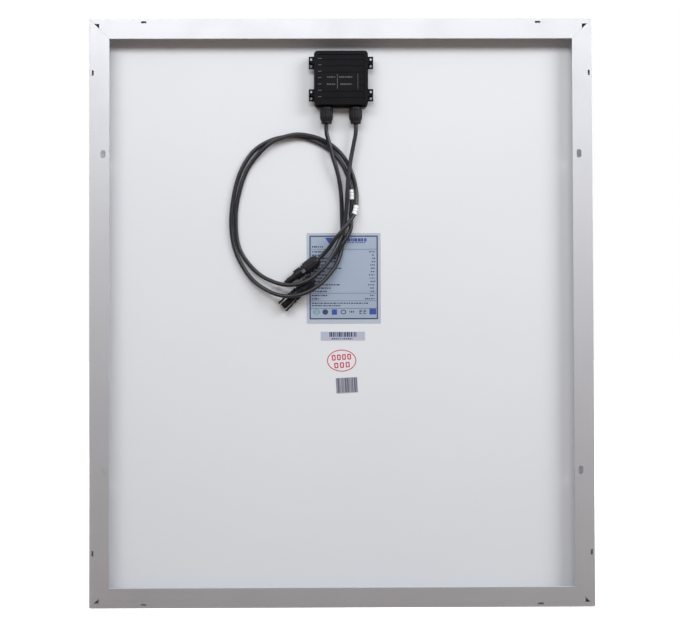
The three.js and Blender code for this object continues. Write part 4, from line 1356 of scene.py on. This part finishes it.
class SOLARPANEL_OT_glands(bpy.types.Operator):
    """Makes each cable gland's fluted nut and the claw inside it"""

    bl_idname = "solar_panel.glands"
    bl_label = "Cable Glands"

    def execute(self, context):
        profile = [
            (0.3, 3.6), (0.0, 3.9), (0.0, 6.4), (0.5, 7.0), (2.2, 7.1), (2.5, 6.75), (2.9, 6.75),
            (3.2, 7.1), (5.0, 8.0), (7.0, 8.55), (9.0, 8.7), (18.3, 8.7), (18.6, 8.45), (18.9, 8.45),
            (19.2, 8.7), (21.1, 8.7), (21.4, 8.4), (21.4, 6.5), (3.0, 6.5), (3.0, 3.6),
        ]
        for side, x in (("left", -GLAND_SPACING / 2), ("right", GLAND_SPACING / 2)):
            place = gland_place(x)
            names = (f"gland_cap_{side}", f"gland_nut_{side}_body", f"gland_nut_{side}")
            add_nut(names, place, profile, fluted(3.4, 18.2, 0.95))
            names = (f"gland_fingers_{side}", f"gland_claw_{side}_body", f"gland_claw_{side}")
            add_claw(names, place, 6.15)
        return {"FINISHED"}


def connector_nut(name, place):
    """A connector's nut and claw."""
    profile = [
        (0.3, 3.6), (0.0, 3.9), (0.0, 5.3), (0.5, 5.9), (1.6, 6.2), (2.6, 6.9), (4.2, 7.7), (6.4, 8.15),
        (8.0, 8.2), (18.4, 8.2), (18.8, 7.95), (19.3, 7.95), (19.7, 8.2), (21.4, 8.1), (22.0, 7.6),
        (22.0, 5.95), (3.0, 5.95), (3.0, 3.6),
    ]
    names = (f"{name}_cap", f"{name}_nut_body", f"{name}_connector_nut")
    add_nut(names, place, profile, fluted(4.0, 18.2, 0.7))
    names = (f"{name}_fingers", f"{name}_claw_body", f"{name}_connector_claw")
    add_claw(names, place, 5.6)


def connector_rear():
    """The rear of a connector body: seat, threaded spigot and shoulder."""
    profile = [(20.0, 2.5), (20.0, 3.2), (16.2, 3.2), (16.2, 4.65), (8.9, 4.65), (8.9, 5.3)]
    crest = 9.6
    while crest < 20.5:
        profile += [(crest, 5.3), (crest + 0.35, 5.6), (crest + 0.75, 5.6), (crest + 1.1, 5.3)]
        crest += THREAD_PITCH
    return profile + [(22.4, 5.3), (22.4, 6.9), (22.8, 7.2), (25.0, 7.2), (25.4, 6.9)]


class SOLARPANEL_OT_socket_connector(bpy.types.Operator):
    """Makes the slim-nosed connector on the right lead"""

    bl_idname = "solar_panel.socket_connector"
    bl_label = "Socket Connector"

    def execute(self, context):
        place = connector_place(RIGHT_LEAD)
        connector_nut("socket", place)
        bm = bmesh.new()
        profile = connector_rear() + [
            (25.4, 5.6), (26.2, 5.9), (37.4, 5.9), (38.0, 5.4), (38.0, 3.8), (53.6, 3.8), (55.0, 3.2),
            (55.0, 2.5),
        ]
        turn(bm, profile, place, 48)
        block(bm, (28.4, 36.4), (-6.3, -4.5), (-1.1, 1.1), place)
        for side in (-1, 1):
            block(bm, (27.0, 37.0), (-1.7, 1.7), sorted((side * 5.0, side * 7.0)), place)
            block(bm, (40.8, 50.0), (-0.6, 0.6), sorted((side * 3.2, side * 4.3)), place)
        replaced = ["socket_connector_body"]
        look = "Connector Plastic"
        finish_piece("socket_body", bm, look, ROOT, replaced, CONNECTOR_EDGE)
        pad = bmesh.new()
        block(pad, (22.9, 28.2), (-7.4, -4.5), (-0.6, 3.8), place)
        finish_piece("socket_pad", pad, "Grey Plastic", ROOT, bevel=0.4 * MM)
        dress(["socket_connector_contact"], "Tinned Copper")
        dress(["socket_connector_seal", "socket_connector_ring"], "Black Rubber")
        return {"FINISHED"}


class SOLARPANEL_OT_pin_connector(bpy.types.Operator):
    """Makes the connector with two latch arms on the left lead"""

    bl_idname = "solar_panel.pin_connector"
    bl_label = "Pin Connector"

    def execute(self, context):
        place = connector_place(LEFT_LEAD)
        connector_nut("pin", place)
        bm = bmesh.new()
        profile = connector_rear() + [
            (25.4, 5.9), (26.2, 6.2), (35.4, 6.2), (36.0, 5.7), (36.0, 4.1), (55.0, 4.1), (55.5, 3.8),
            (55.5, 3.0), (38.0, 3.0), (38.0, 2.5),
        ]
        turn(bm, profile, place, 48)
        block(bm, (23.4, 28.0), (-7.35, -4.5), (-2.5, 2.5), place)
        for side in (-1, 1):
            block(bm, (26.5, 36.0), (-3.0, 3.0), sorted((side * 5.0, side * 7.4)), place)
        replaced = ["pin_connector_body"]
        finish_piece("pin_body", bm, "Connector Plastic", ROOT, replaced, CONNECTOR_EDGE)
        for side, key in ((-1, "upper"), (1, "lower")):
            self.add_arm(place, side, key)
        dress(["pin_connector_contact"], "Tinned Copper")
        dress(["pin_connector_seal"], "Black Rubber")
        return {"FINISHED"}

    def add_arm(self, place, side, key):
        """A latch arm with a hooked end and a rib on its outside."""
        outline = [
            (36.4, 4.8), (39.2, 4.8), (40.0, 5.9), (56.6, 5.9), (57.0, 6.3), (57.0, 7.2), (55.6, 8.3),
            (52.2, 8.3), (51.8, 7.9), (44.0, 7.9), (43.0, 7.5), (41.0, 7.5), (40.0, 7.9), (36.4, 7.9),
        ]
        ordered = [(u, side * v) for u, v in (outline if side > 0 else reversed(outline))]
        bm = bmesh.new()
        prism(bm, ordered, (-3.0, 3.0), place)
        block(bm, (45.5, 50.5), (-1.1, 1.1), sorted((side * 7.4, side * 8.25)), place)
        name, body = f"latch_arm_{key}", f"latch_{key}"
        replaced = [f"pin_connector_{body}"]
        finish_piece(name, bm, "Connector Plastic", body, replaced, CONNECTOR_EDGE)


class SOLARPANEL_OT_cords(bpy.types.Operator):
    """Lists the pieces that are on each lead; running it does nothing"""

    bl_idname = "solar_panel.cords"
    bl_label = "Declare Cords"

    ON_LEAD = {
        "left": [
            "sleeve_band_left", "sleeve_print_left", "pin_cap", "pin_fingers", "pin_body",
            "latch_arm_upper", "latch_arm_lower", "pin_connector_contact", "pin_connector_seal",
        ],
        "right": [
            "sleeve_band_right", "sleeve_print_right", "socket_cap", "socket_fingers", "socket_body",
            "socket_pad", "socket_connector_contact", "socket_connector_seal", "socket_connector_ring",
        ],
    }

    def execute(self, context):
        return {"FINISHED"}


BUILD_ORDER = (
    SOLARPANEL_OT_stage,
    SOLARPANEL_OT_leads,
    SOLARPANEL_OT_frame_rails,
    SOLARPANEL_OT_laminate,
    SOLARPANEL_OT_labels,
    SOLARPANEL_OT_box_body,
    SOLARPANEL_OT_box_cover,
    SOLARPANEL_OT_glands,
    SOLARPANEL_OT_socket_connector,
    SOLARPANEL_OT_pin_connector,
    SOLARPANEL_OT_cords,
)


class SOLARPANEL_PT_sidebar(bpy.types.Panel):
    """Lists the settings and the pieces"""

    bl_idname = "SOLARPANEL_PT_sidebar"
    bl_label = "Solar Panel"
    bl_space_type = "VIEW_3D"
    bl_region_type = "UI"
    bl_category = "Solar Panel"

    def draw(self, context):
        column = self.layout.column()
        for name in SolarPanelSettings.__annotations__:
            column.prop(context.scene.solar_panel, name)
        column.separator()
        for operator in BUILD_ORDER:
            column.operator(operator.bl_idname)


CLASSES = (SolarPanelSettings, *BUILD_ORDER, SOLARPANEL_PT_sidebar)


def register():
    for cls in CLASSES:
        bpy.utils.register_class(cls)
    bpy.types.Scene.solar_panel = PointerProperty(type=SolarPanelSettings)


def unregister():
    del bpy.types.Scene.solar_panel
    for cls in reversed(CLASSES):
        bpy.utils.unregister_class(cls)


def main():
    register()
    for operator in BUILD_ORDER:
        group, name = operator.bl_idname.split(".")
        getattr(getattr(bpy.ops, group), name)()


if __name__ == "__main__":
    main()
